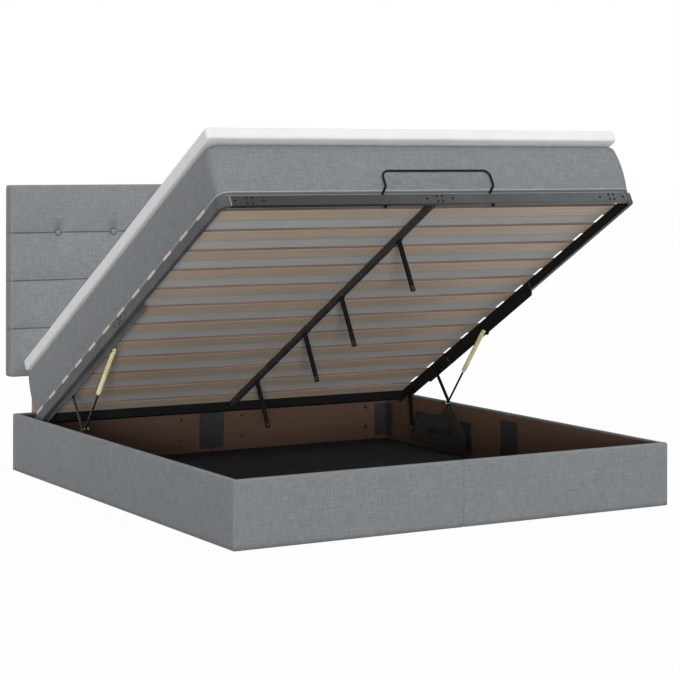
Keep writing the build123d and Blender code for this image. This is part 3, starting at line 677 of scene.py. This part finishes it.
def rail_outline(run, depth, top, sizes):
    """Rings of (along, out, up) round a rail's cover, from its hem to its top.

    With them comes the number of points along one long side of a ring.
    """
    end, top_round = sizes.rail_end_round, sizes.rail_top_round
    upright = steps(end, run - end, sizes.cell)
    turns = quarter(ARC_STEPS, 1)
    levels = [(height, 0.0) for height in steps(0, top - top_round, sizes.cell)]
    levels += [(top - top_round * (1 - sin(turn)), top_round * (1 - cos(turn))) for turn in turns]
    rings = []
    for height, inset in levels:
        small = inset * INNER_ROUND
        arc = [
            (end * (1 - sin(turn)), depth - inset - end * (1 - cos(turn))) for turn in turns[:-1]
        ]
        ring = [(along, depth - inset) for along in upright]
        ring += [(run - small - along, out) for along, out in arc]
        ring += [(run - small, depth * share) for share in END_MARKS]
        ring += [(min(run - small, max(small, along)), small) for along in reversed(upright)]
        ring += [(small, depth * share) for share in reversed(END_MARKS)]
        ring += [(small + along, out) for along, out in reversed(arc)]
        rings.append([(along, out, height) for along, out in ring])
    return rings, len(upright)


def cloth_lift(flat, run, depth, top, wander, sizes):
    """How far the cloth stands out at each (along, out, up) on a rail, 0 but on its outer side."""
    along, up = flat[:, 0], flat[:, 2]
    middle = (np.sin(np.clip(along / run, 0, 1) * pi) ** RAIL_CROWN["along"]) * (
        np.sin(np.clip(up / top, 0, 1) * pi) ** RAIL_CROWN["up"]
    )
    to_seam = np.minimum(along, run - along)
    pucker = np.sin(up * 2 * pi / RAIL_PUCKER["length"] + along * RAIL_PUCKER["slant"])
    pucker = pucker * np.exp(-to_seam / RAIL_PUCKER["reach"])
    filled = middle * (sizes.rail_puff + RAIL_WANDER["depth"] * wander)
    puckered = RAIL_PUCKER["depth"] * pucker * middle
    return (flat[:, 1] > depth * 0.9) * (filled + puckered - RAIL_DRAWN)


def cover_faces(rings, across, fold):
    """Faces of a rail's cover, open inside below the height fold, closed on its top."""
    size = len(rings[0])
    inner_first = across + ARC_STEPS - 1 + len(END_MARKS)
    inner_last = inner_first + across - 1
    numbers = [range(level * size, (level + 1) * size) for level in range(len(rings))]
    faces = []
    for level, (lower, upper) in enumerate(zip(numbers, numbers[1:])):
        under_fold = rings[level + 1][0][2] <= fold
        for index, face in enumerate(ring_faces(lower, upper)):
            if not (under_fold and inner_first <= index < inner_last):
                faces.append(face)
    last = numbers[-1]
    for index in range(across - 1):
        mirror = inner_last - index
        faces.append((last[index], last[index + 1], last[mirror - 1], last[mirror]))
    faces.append(tuple(last[across - 1:inner_first + 1]))
    faces.append((*last[inner_last:], last[0]))
    return faces


def rail_cover(node, material, sizes):
    """Cloth wrapped over a rail's board, folded down inside and hemmed under its foot."""
    low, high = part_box(node)
    axis, sign = RAIL_SIDES["_".join(node.split("_")[:2])]
    along_axis = 1 - axis
    run, depth, top = high[along_axis] - low[along_axis], high[axis] - low[axis], high.z - low.z
    rings, across = rail_outline(run, depth, top, sizes)
    flat = np.array([point for ring in rings for point in ring])
    wander = ripple(flat + low[axis], RAIL_WANDER["length"], len(node))
    flat[:, 1] += cloth_lift(flat, run, depth, top, wander, sizes)
    points = []
    for along, out, up in flat:
        point = [0, 0, low.z + up]
        point[along_axis] = low[along_axis] + along
        point[axis] = low[axis] + out if sign > 0 else high[axis] - out
        points.append(tuple(point))
    faces = cover_faces(rings, across, top - sizes.fold_depth)
    if (sign > 0) == (axis == 1):
        faces = [face[::-1] for face in faces]
    piece = make_piece(node.replace("_cover", "_cloth"), points, faces, material, "base")
    cloth = piece.modifiers.new("Solidify", "SOLIDIFY")
    cloth.thickness = sizes.cloth_thick
    cloth.offset = -1.0
    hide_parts(node)


class BED_OT_rails(bpy.types.Operator):
    """Wrap the rails in cloth and finish the boards and plates inside them"""

    bl_idname = "bed.rails"
    bl_label = "Rails"

    def execute(self, context):
        sizes, colours = context.scene.bed_sizes, context.scene.bed_colours
        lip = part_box("foot_rail_left_cover")[1].z - sizes.fold_depth * 2
        # where the cloth folds over inside, it is darkened as painted shade
        cloth = woven("rail_cloth", colours.cloth, backing=shade(colours.board, 0.8), lip=lip)
        rails = [node for node in frame["nodes"] if "_rail_" in node]
        covers = [node for node in rails if node.endswith("_cover")]
        boards = [node for node in rails if node not in covers]
        sides = [node for node in boards if node.startswith(("left", "right"))]
        for node in covers:
            rail_cover(node, cloth, sizes)
        dress(timber("board_lengthwise", colours.board, (60, 1.4, 60)), *sides)
        dress(timber("board_crosswise", colours.board), *[n for n in boards if n not in sides])
        floor = fibre_board("floor_felt", colours.floor_board)
        dress(floor, "floor_board_left", "floor_board_right")
        steel = coated("plate_coating", colours.plate_steel, 0.5, gloss=0.2)
        dress(steel, "rail_joint_plates", "corner_angles")
        dress(bare_metal("screw_steel", (0.16, 0.16, 0.155)), "rail_screws", "post_bolts")
        return {"FINISHED"}


# Headboard

BAND_CURVE = (3.4, 0.55)  # powers that keep a band flat and its seams narrow
OUTER_SEAM = 0.25  # depth at the headboard's top and foot, as a share of a seam's
COLUMN_CELL, ROW_CELL = 0.55, 0.45  # size of the pads' faces as shares of the cloth cell
SIDE_CELL = 0.012  # size of the faces on a pad's sides
RIM_STEPS = 5  # points round a pad's rim
SEAM_ROWS = (0.0009, 0.0022, 0.004, 0.0068)  # rows of points on each side of a seam
SEAM_CLEAR = 0.009  # other rows keep this far from a seam
EDGE_FADE = 0.02  # the seams run out over this distance from a pad's upright edges
FOLD = {"depth": 0.0035, "width": 0.012, "length": 0.06}  # above and below a button
STITCH = {"depth": 0.0022, "width": 0.0028}  # the groove at a seam's foot
PAD_PUCKER = {"depth": 0.0005, "length": 0.027, "reach": 0.018}
PAD_WANDER = {"depth": 0.0008, "length": 0.4}
RIM_CORNER = 0.86  # how far out a pad's corner goes, as a share of its edges
HELD_AT_SEAM, HELD_AT_BUTTON = 0.003, 0.02  # points this near don't swell
BUTTON_GAP = 0.03  # vertices further apart than this are on two buttons
BUTTON_SIDES = 28
BUTTON_FRONT = 0.004  # the dome stands this far in front of its packed place
# A button's section from its middle to its rim, as (share of the radius, distance back)
BUTTON_OUTLINE = (
    (0.02, 0.0), (0.35, 0.0006), (0.65, 0.0018), (0.88, 0.0036), (0.98, 0.0055), (1.0, 0.007),
    (0.9, 0.0085),
)


def band_seams(low, high, sizes):
    """Heights of the seams between the headboard's bands."""
    return [low + (high - low) * band / sizes.band_count for band in range(1, sizes.band_count)]


def band_gap(height, low, high, sizes):
    """Distance to the nearest seam between two bands."""
    return np.min([np.abs(height - seam) for seam in band_seams(low, high, sizes)], axis=0)


def band_depth(height, low, high, sizes):
    """How deep the padding lies behind its crown, from the seams between its bands."""
    share = (height - low) / (high - low) * sizes.band_count
    within = share - np.floor(np.clip(share, 0, sizes.band_count - 1e-6))
    seam = np.abs(2 * within - 1)
    outer_half = (share < 0.5) | (share > sizes.band_count - 0.5)
    deep = sizes.band_depth * (1 - (1 - seam ** BAND_CURVE[0]) ** BAND_CURVE[1])
    return np.where(outer_half, deep * OUTER_SEAM, deep)


def pad_grid(low, high, sizes):
    """Columns and rows of a pad's front, with more rows beside the seams."""
    inset = sizes.headboard_round
    columns = steps(low.x + inset, high.x - inset, sizes.cell * COLUMN_CELL)
    plain = steps(low.z + inset, high.z - inset, sizes.cell * ROW_CELL)
    seams = band_seams(low.z, high.z, sizes)
    rows = [row for row in plain if min(abs(row - seam) for seam in seams) > SEAM_CLEAR]
    rows += [seam + side * step for seam in seams for side in (-1, 1) for step in SEAM_ROWS]
    return columns, sorted(rows + seams)


def pad_depth(grid, gap, spots, low, high, seed, sizes):
    """How deep each (x, z) of a pad's front lies, with its seams, dimples, folds and puckers."""
    x, z = grid[:, 0], grid[:, 1]
    depth = band_depth(z, low.z, high.z, sizes)
    from_edge = np.minimum(x - low.x, high.x - x) - sizes.headboard_round
    depth *= np.clip(from_edge / EDGE_FADE, 0.0, 1.0) ** 0.5
    for spot in spots:
        across, up = x - spot.x, z - spot.z
        reach = np.hypot(across, up)
        dimple = sizes.dimple_depth * np.exp(-((reach / sizes.dimple_radius) ** 1.15))
        fold = np.exp(-((across / FOLD["width"]) ** 2))
        fold = fold * np.exp(-((np.abs(up) / FOLD["length"]) ** 1.4)) * FOLD["depth"]
        depth = np.maximum(depth, dimple) + fold * np.clip(1 - dimple / sizes.dimple_depth, 0, 1)
    depth = depth + STITCH["depth"] * np.exp(-((gap / STITCH["width"]) ** 2))
    pucker = np.sin(x * 2 * pi / PAD_PUCKER["length"] + np.sin(x * 23) * 2)
    depth += PAD_PUCKER["depth"] * pucker * np.exp(-(gap / PAD_PUCKER["reach"]))
    spread = np.column_stack([x, np.zeros(len(grid)), z])
    depth += PAD_WANDER["depth"] * (ripple(spread, PAD_WANDER["length"], seed) + 1)
    return np.minimum(depth, sizes.padding_depth)


def pad_rim(points, ring, low, high, sizes):
    """Adds a pad's rounded rim and its sides to the points, and gives their faces."""
    round_off, front = sizes.headboard_round, low.y
    middle = Vector(((low.x + high.x) / 2, 0, (low.z + high.z) / 2))
    turns = quarter(RIM_STEPS, 1)
    levels = [(round_off * (1 - cos(turn)), round_off * sin(turn)) for turn in turns]
    levels += [(step, round_off) for step in steps(round_off, high.y - front, SIDE_CELL)[1:]]
    faces, inner = [], ring
    for deeper, spread_out in levels:
        outer = range(len(points), len(points) + len(ring))
        for index in ring:
            x, y, z = points[index]
            edge_x = abs(x - middle.x) > (high.x - low.x) / 2 - round_off - 1e-6
            edge_z = abs(z - middle.z) > (high.z - low.z) / 2 - round_off - 1e-6
            out_x = (1 if x > middle.x else -1) * spread_out if edge_x else 0
            out_z = (1 if z > middle.z else -1) * spread_out if edge_z else 0
            if edge_x and edge_z:
                out_x, out_z = out_x * RIM_CORNER, out_z * RIM_CORNER
            fade = max(0.0, 1 - deeper / round_off)
            points.append((x + out_x, front + deeper + (y - front) * fade, z + out_z))
        faces += ring_faces(inner, outer, flip=True)
        inner = outer
    return faces


def headboard_pad(name, material, buttons, sizes):
    """One padded half: crowned bands, seams between them and a dimple at each button."""
    node = f"headboard_cover_{name}"
    low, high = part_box(node)
    columns, rows = pad_grid(low, high, sizes)
    grid = np.array([(x, z) for z in rows for x in columns])
    gap = band_gap(grid[:, 1], low.z, high.z, sizes)
    spots = [spot for spot in buttons if low.x < spot.x < high.x]
    depth = pad_depth(grid, gap, spots, low, high, len(name), sizes)
    points = [(x, low.y + deep, z) for (x, z), deep in zip(grid, depth)]
    ring = border(len(columns), len(rows))
    faces = grid_faces(len(columns), len(rows), 0) + pad_rim(points, ring, low, high, sizes)
    piece = make_piece(f"headboard_pad_{name}", points, faces, material, "base")
    held = set(ring) | set(range(len(grid), len(points)))
    held |= set(np.where(gap < HELD_AT_SEAM)[0])
    for spot in spots:
        reach = np.hypot(grid[:, 0] - spot.x, grid[:, 1] - spot.z)
        held |= set(np.where(reach < HELD_AT_BUTTON)[0])
    puffed(piece, sizes.pad_pressure, sizes.pad_swell, sorted(held))
    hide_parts(node)


def button_spots():
    """Middle of each button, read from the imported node."""
    data = frame["nodes"]["headboard_buttons"].data
    places = np.array([vertex.co for vertex in data.vertices])
    places = places[np.argsort(places[:, 0])]
    gaps = np.where(np.diff(places[:, 0]) > BUTTON_GAP)[0] + 1
    return [Vector((group.min(0) + group.max(0)) / 2) for group in np.split(places, gaps)]


def button_mesh(spot, radius, points, faces):
    """Adds a cloth-covered dome with its cloth drawn under at the rim."""
    rings = []
    for share, back in BUTTON_OUTLINE:
        rings.append(range(len(points), len(points) + BUTTON_SIDES))
        for side in range(BUTTON_SIDES):
            turn = 2 * pi * side / BUTTON_SIDES
            across, up = radius * share * cos(turn), radius * share * sin(turn)
            points.append((spot.x + across, spot.y - BUTTON_FRONT + back, spot.z + up))
    for inner, outer in zip(rings, rings[1:]):
        faces += ring_faces(inner, outer, flip=True)
    faces.append(tuple(rings[0]))


class BED_OT_headboard(bpy.types.Operator):
    """Pad both halves of the headboard and cover its buttons"""

    bl_idname = "bed.headboard"
    bl_label = "Headboard"

    def execute(self, context):
        sizes, colours = context.scene.bed_sizes, context.scene.bed_colours
        low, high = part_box("headboard_cover_left")
        seams, spots = band_seams(low.z, high.z, sizes), button_spots()
        # the seams and the buttons get painted shade in this cloth
        cloth = woven("headboard_cloth", colours.cloth, seams=seams, tufts=spots)
        for name in ("left", "right"):
            headboard_pad(name, cloth, spots, sizes)
        points, faces = [], []
        for spot in spots:
            button_mesh(spot, sizes.button_radius, points, faces)
        button_cloth = woven("button_cloth", colours.cloth)
        buttons = make_piece("covered_buttons", points, faces, button_cloth, "base")
        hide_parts("headboard_buttons")
        battens = timber("batten_wood", colours.batten, (60, 60, 1.6))
        dress(battens, "headboard_core_left", "headboard_core_right", "headboard_posts")
        dress(fibre_board("back_lining", (0.02, 0.02, 0.021)), "headboard_backs")
        return {"FINISHED"}


# Mattress and topper

PAD_CELL = 1.6  # size of their faces as a share of the cloth cell
MATTRESS_WANDER = {"share": 0.0012, "length": 0.5}  # share of its half width and length
TOPPER_SAG = {"depth": 0.002, "length": 0.6}
TOPPER_BOW = {"depth": 0.0016, "length": 0.7, "inset": 0.0012}


class Blank:
    """The room for a pad on the deck, as it lies when shut, and how the deck lifts it."""

    def __init__(self, node):
        low, high = shut_box(node)
        middle = (low + high) / 2
        self.half_x, self.half_y = (high.x - low.x) / 2, (high.y - low.y) / 2
        self.tall = high.z - low.z
        self.place = opened @ Matrix.Translation((middle.x, middle.y, low.z))

    def profile(self, low_round, high_round, cell, count):
        """(height, inset) pairs up its side, with rounded long edges of count steps each."""
        turns = quarter(count)
        low = [(low_round * (1 - cos(turn)), low_round * (1 - sin(turn))) for turn in turns]
        sides = steps(low_round, self.tall - high_round, cell)[1:-1]
        high = [
            (self.tall - high_round * (1 - sin(turn)), high_round * (1 - cos(turn)))
            for turn in turns
        ]
        return low + [(height, 0.0) for height in sides] + high


class BED_OT_mattress(bpy.types.Operator):
    """Make the mattress with its welt and the topper that lies on it"""

    bl_idname = "bed.mattress"
    bl_label = "Mattress and topper"

    def execute(self, context):
        sizes, colours = context.scene.bed_sizes, context.scene.bed_colours
        cell = sizes.cell * PAD_CELL
        self.make_mattress(sizes, colours, cell)
        self.make_topper(sizes, colours, cell)
        return {"FINISHED"}

    def make_mattress(self, sizes, colours, cell):
        """A pad with bulging sides, whose foot is in the lining cloth."""
        tone, base_height = shade(colours.cloth, 0.95), sizes.welt_height * 0.6
        # the lining's sides below the welt are darkened as painted shade in this cloth
        cloth = woven("mattress_cloth", tone, base=colours.lining, base_height=base_height)
        blank = Blank("mattress")
        tall = blank.tall
        foot_edge, top_edge = sizes.mattress_foot_edge, sizes.mattress_edge
        straight = blank.profile(foot_edge, top_edge, sizes.cell, count=6)
        profile = [
            (height, inset + sizes.mattress_bulge * (2 * height / tall - 1) ** 2)
            for height, inset in straight
        ]
        half_x, half_y = blank.half_x, blank.half_y
        points, faces = cushion_mesh(half_x, half_y, sizes.mattress_corner, cell, profile)
        side_share = np.clip(1 - np.abs(points[:, 2] / tall * 2 - 1) ** 4, 0, 1)
        wander = ripple(points, MATTRESS_WANDER["length"], 3) * side_share
        points = points * (1 + MATTRESS_WANDER["share"] * wander[:, None] * np.array([1, 1, 0]))
        mattress = make_piece("mattress_body", points, faces, cloth, "platform", blank.place)
        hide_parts("mattress")
        self.make_welt(blank, sizes, colours, cell)

    def make_welt(self, blank, sizes, colours, cell):
        """The piping round the mattress, near its foot."""
        half_x, half_y, height = blank.half_x, blank.half_y, sizes.welt_height
        columns, rows, outline = rounded_grid(half_x, half_y, sizes.mattress_corner, cell)
        inset = sizes.mattress_bulge * (1 - 2 * height / blank.tall) ** 2
        outline = outline * np.array([(half_x - inset) / half_x, (half_y - inset) / half_y])
        loop = [np.array((*outline[index], height)) for index in border(columns, rows)]
        points, faces = tube_along(loop, sizes.welt_radius)
        piping = woven("welt_cloth", colours.welt)
        welts = make_piece("mattress_welts", points, faces, piping, "platform", blank.place)

    def make_topper(self, sizes, colours, cell):
        """A thin pad whose top sags and whose sides bow a little."""
        blank = Blank("topper")
        edge = sizes.topper_edge
        profile = blank.profile(edge, edge, sizes.cell * 0.7, count=4)
        points, faces = cushion_mesh(blank.half_x, blank.half_y, sizes.topper_corner, cell, profile)
        on_top = points[:, 2] > blank.tall - 0.001
        sag = 1 + ripple(points, TOPPER_SAG["length"], 8)
        points[:, 2] -= on_top * TOPPER_SAG["depth"] * sag
        bow = TOPPER_BOW["depth"] * ripple(points, TOPPER_BOW["length"], 5) - TOPPER_BOW["inset"]
        points[:, :2] *= (1 + bow / blank.half_x)[:, None]
        knit = knitted("topper_knit", colours.topper)
        topper = make_piece("topper_pad", points, faces, knit, "platform", blank.place)
        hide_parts("topper")


# Deck and lift mechanism

class BED_OT_deck(bpy.types.Operator):
    """Finish the deck's tubes, slats, legs and the bar at its foot"""

    bl_idname = "bed.deck"
    bl_label = "Deck"

    def execute(self, context):
        sizes, colours = context.scene.bed_sizes, context.scene.bed_colours
        low, high = shut_box("foot_tube")
        middle, across, lengthwise = (low + high) / 2, Vector((1, 0, 0)), Vector((0, 1, 0))
        outer = across * (high.x - sizes.end_holes)
        # painted reflection that grows to the right, and painted shade round the holes
        foot = coated(
            "deck_coating", colours.deck_steel, 0.4, painted_reflection=True, seen_along=lengthwise,
            holes=self.hole_rims((middle - outer, middle, middle + outer), across, sizes),
        )
        dress(foot, "foot_tube")
        dress(coated("centre_coating", colours.plate_steel, 0.45, gloss=0.15), "centre_tube")
        side_middle = Vector((0, low.y + sizes.side_holes, middle.z))
        # painted shade on the side tubes' inner sides and round their holes
        sides = coated(
            "side_coating", colours.side_steel, 0.5, inner_shade_share=0.1, gloss=0.12,
            holes=self.hole_rims((side_middle,), lengthwise, sizes), seen_along=across,
        )
        dress(sides, "side_tube_left", "side_tube_right", *nodes_named("moving_bracket"))
        slats = timber(
            "slat_wood", colours.slat, turn=lift_angle, edge=colours.slat_edge,
            end=colours.slat_end, roughness=0.55,
        )
        dress(slats, "slats")
        black = coated("rod_coating", colours.black_steel, 0.5, gloss=0.12)
        dress(black, "deck_legs", "retaining_bar", "head_tube", "bar_nuts")
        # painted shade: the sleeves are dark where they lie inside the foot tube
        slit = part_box("foot_tube")[1].x
        dress(bare_metal("sleeve_steel", (0.6, 0.6, 0.59), shaded_within=slit), "tube_sleeves")
        self.line_tubes(sizes)
        dress(moulded("cap_plastic", (0.012, 0.012, 0.013)), "leg_caps")
        return {"FINISHED"}

    def hole_rims(self, middles, along, sizes):
        """Middles of the holes in each cluster, laid down as the coat's shader lays the deck."""
        lay = Matrix.Rotation(lift_angle, 3, "X")
        run, rise, spread = sizes.hole_run / 2, sizes.hole_rise / 2, sizes.hole_spread / 2
        offsets = [(a * run, b * rise) for a in (-1, 1) for b in (-1, 1)]
        offsets += [(-spread, 0), (spread, 0)]
        return [
            lay @ (opened @ (middle + along * offset + Vector((0, 0, up))))
            for middle in middles for offset, up in offsets
        ]

    def line_tubes(self, sizes):
        """Dark strips inside the tubes as painted shade, so that nothing shows through the drilled
        holes.
        """
        low, high = shut_box("foot_tube")
        middle, half = (low + high) / 2, (high - low) / 2
        side = -shut_box("side_tube_left")[0].x - half.y
        thin, reach, tall = sizes.shade_strip_thick / 2, sizes.liner_reach, half.z * 0.7
        strips = [((0, middle.y), (reach, thin))]
        strips += [((x, low.y + sizes.side_holes), (thin, reach)) for x in (-side, side)]
        points, faces = [], []
        for (x, y), (half_x, half_y) in strips:
            lower = range(len(points), len(points) + 4)
            upper = range(len(points) + 4, len(points) + 8)
            points += [
                (x + a * half_x, y + b * half_y, middle.z + c * tall)
                for c in (-1, 1) for a, b in ((-1, -1), (1, -1), (1, 1), (-1, 1))
            ]
            faces += [(lower[0], *reversed(lower[1:])), tuple(upper), *ring_faces(lower, upper)]
        # painted shade: a dark sheet where the tube's inside lies in shade
        dark = moulded("liner_plastic", (0.004, 0.004, 0.004))
        shade_strips = make_piece("tube_liners", points, faces, dark, "platform", opened, smooth=False)


class BED_OT_mechanism(bpy.types.Operator):
    """Finish the brackets, links, gas springs and pivots"""

    bl_idname = "bed.mechanism"
    bl_label = "Lift mechanism"

    def execute(self, context):
        colours = context.scene.bed_colours
        black = coated("bracket_coating", colours.black_steel, 0.5, gloss=0.15)
        dress(black, *nodes_named("front_link", "rear_link", "deck_pivots"))
        grey = coated("mount_coating", colours.plate_steel, 0.5, gloss=0.15)
        dress(grey, *nodes_named("fixed_bracket"))
        paint = coated("strut_paint", colours.strut, 0.3, peel_share=0.3)
        dress(paint, *nodes_named("strut_cylinder"))
        rod = coated("strut_rod_coating", colours.black_steel, 0.25, peel_share=0.2)
        dress(rod, *nodes_named("strut_rod"))
        dress(bare_metal("pivot_brass", tuple(colours.brass)), "base_pivots")
        return {"FINISHED"}


# Floor, light and camera

FLOOR_REACH = 40.0  # half the floor's width
FLOOR_DROP = 0.0004  # the floor lies this far under the bed
FLOOR_SEEN = 0.95  # share of plain white in the floor that the camera sees
WORLD_SHARE = 0.36  # what the world lights the bed with; 1 is white
# The photograph's frame, in pixels: its width, the lens's distance and the row of the horizon
FRAME_WIDTH, FOCAL_PIXELS, HORIZON_ROW = 680, 2031.3, 157.56
CAMERA_PLACE = (-4.037, -7.142, 1.327)
CAMERA_HEADING = radians(-30)
CAMERA_ROLL = 0.0015


def add_light(name, toward, share, spread):
    """A soft light from far off; share is what it adds to a white surface that faces it."""
    data = bpy.data.lights.new(name, "SUN")
    data.energy = pi * share
    data.angle = radians(spread)
    light = bpy.data.objects.new(name, data)
    light.rotation_euler = (-Vector(toward)).to_track_quat("-Z", "Y").to_euler()
    bpy.context.scene.collection.objects.link(light)


class BED_OT_stage(bpy.types.Operator):
    """Set up the floor, the light and the camera at the photograph's angle"""

    bl_idname = "bed.stage"
    bl_label = "Stage"

    def execute(self, context):
        scene = context.scene
        self.lay_floor(scene)
        self.light_world(scene)
        add_light("front_light", toward=(-0.45, -0.89, 0.06), share=0.525, spread=10)
        add_light("top_light", toward=(-0.05, -0.2, 1.0), share=0.36, spread=50)
        self.place_camera(scene)
        scene.view_settings.view_transform = "Standard"
        return {"FINISHED"}

    def lay_floor(self, scene):
        """A floor that looks white to the camera and in reflections, and keeps a shadow."""
        finish = Finish("floor_white", roughness=1.0, specular_ior_level=0.0)
        camera, glossy, clear = finish.seen_by("Camera", "Glossy", "Transmission")
        rays = camera + glossy + clear
        looked_at = rays.math("MINIMUM", rays, 1.0)
        finish.set(base_color=finish.mix(looked_at, (0.5, 0.5, 0.5), (1.0, 1.0, 1.0)))
        lit = Wire(finish, finish.shader.outputs[0])
        glow = finish.node("ShaderNodeEmission", {}, {"Color": (1, 1, 1, 1), "Strength": 1.0})
        values = {0: looked_at * FLOOR_SEEN, 1: lit, 2: glow}
        seen = finish.node("ShaderNodeMixShader", {}, values)
        finish.join(seen, finish.tree.nodes["Material Output"].inputs["Surface"])
        data = bpy.data.meshes.new("floor")
        signs = ((-1, -1), (1, -1), (1, 1), (-1, 1))
        corners = [(a * FLOOR_REACH, b * FLOOR_REACH, 0) for a, b in signs]
        data.from_pydata(corners, [], [(0, 1, 2, 3)])
        data.materials.append(finish.material)
        floor = bpy.data.objects.new("floor", data)
        floor.location.z = -FLOOR_DROP
        scene.collection.objects.link(floor)

    def light_world(self, scene):
        """Soft light from all round, which looks white to the camera and in reflections."""
        scene.world = bpy.data.worlds.new("studio")
        scene.world.use_nodes = True
        nodes = Nodes(scene.world.node_tree)
        camera, glossy = nodes.seen_by("Camera", "Glossy")
        strength = camera.math("MAXIMUM", camera, glossy).ramp(0.0, 1.0, WORLD_SHARE, 1.0)
        back = nodes.tree.nodes["Background"]
        nodes.join((1, 1, 1, 1), back.inputs["Color"])
        nodes.join(strength, back.inputs["Strength"])

    def place_camera(self, scene):
        """The camera stands level and upright but for a slight roll, as the photograph's did."""
        data = bpy.data.cameras.new("camera")
        data.sensor_width = 36.0
        data.lens = FOCAL_PIXELS * data.sensor_width / FRAME_WIDTH
        data.shift_y = (HORIZON_ROW - FRAME_WIDTH / 2) / FRAME_WIDTH
        data.clip_end = 200
        camera = bpy.data.objects.new("camera", data)
        camera.matrix_world = (
            Matrix.Translation(CAMERA_PLACE)
            @ Matrix.Rotation(CAMERA_HEADING, 4, "Z")
            @ Matrix.Rotation(radians(90), 4, "X")
            @ Matrix.Rotation(CAMERA_ROLL, 4, "Z")
        )
        scene.collection.objects.link(camera)
        scene.camera = camera


class BED_PT_panel(bpy.types.Panel):
    """Lists the steps that dress the bed"""

    bl_idname = "BED_PT_panel"
    bl_label = "Bed"
    bl_space_type = "VIEW_3D"
    bl_region_type = "UI"
    bl_category = "Bed"

    def draw(self, context):
        for kind in STEPS:
            self.layout.operator(kind.bl_idname)
        for group in (context.scene.bed_sizes, context.scene.bed_colours):
            for name in group.bl_rna.properties.keys():
                if name not in ("rna_type", "name"):
                    self.layout.prop(group, name)


STEPS = (
    BED_OT_stage, BED_OT_rails, BED_OT_headboard, BED_OT_mattress, BED_OT_deck, BED_OT_mechanism,
)
CLASSES = (BedSizes, BedColours, *STEPS, BED_PT_panel)


def register():
    for kind in CLASSES:
        bpy.utils.register_class(kind)
    bpy.types.Scene.bed_sizes = PointerProperty(type=BedSizes)
    bpy.types.Scene.bed_colours = PointerProperty(type=BedColours)


def unregister():
    del bpy.types.Scene.bed_colours
    del bpy.types.Scene.bed_sizes
    for kind in reversed(CLASSES):
        bpy.utils.unregister_class(kind)


def main():
    """Dresses the frame step by step."""
    register()
    bpy.ops.bed.stage()
    bpy.ops.bed.rails()
    bpy.ops.bed.headboard()
    bpy.ops.bed.mattress()
    bpy.ops.bed.deck()
    bpy.ops.bed.mechanism()


if __name__ == "__main__":
    main()
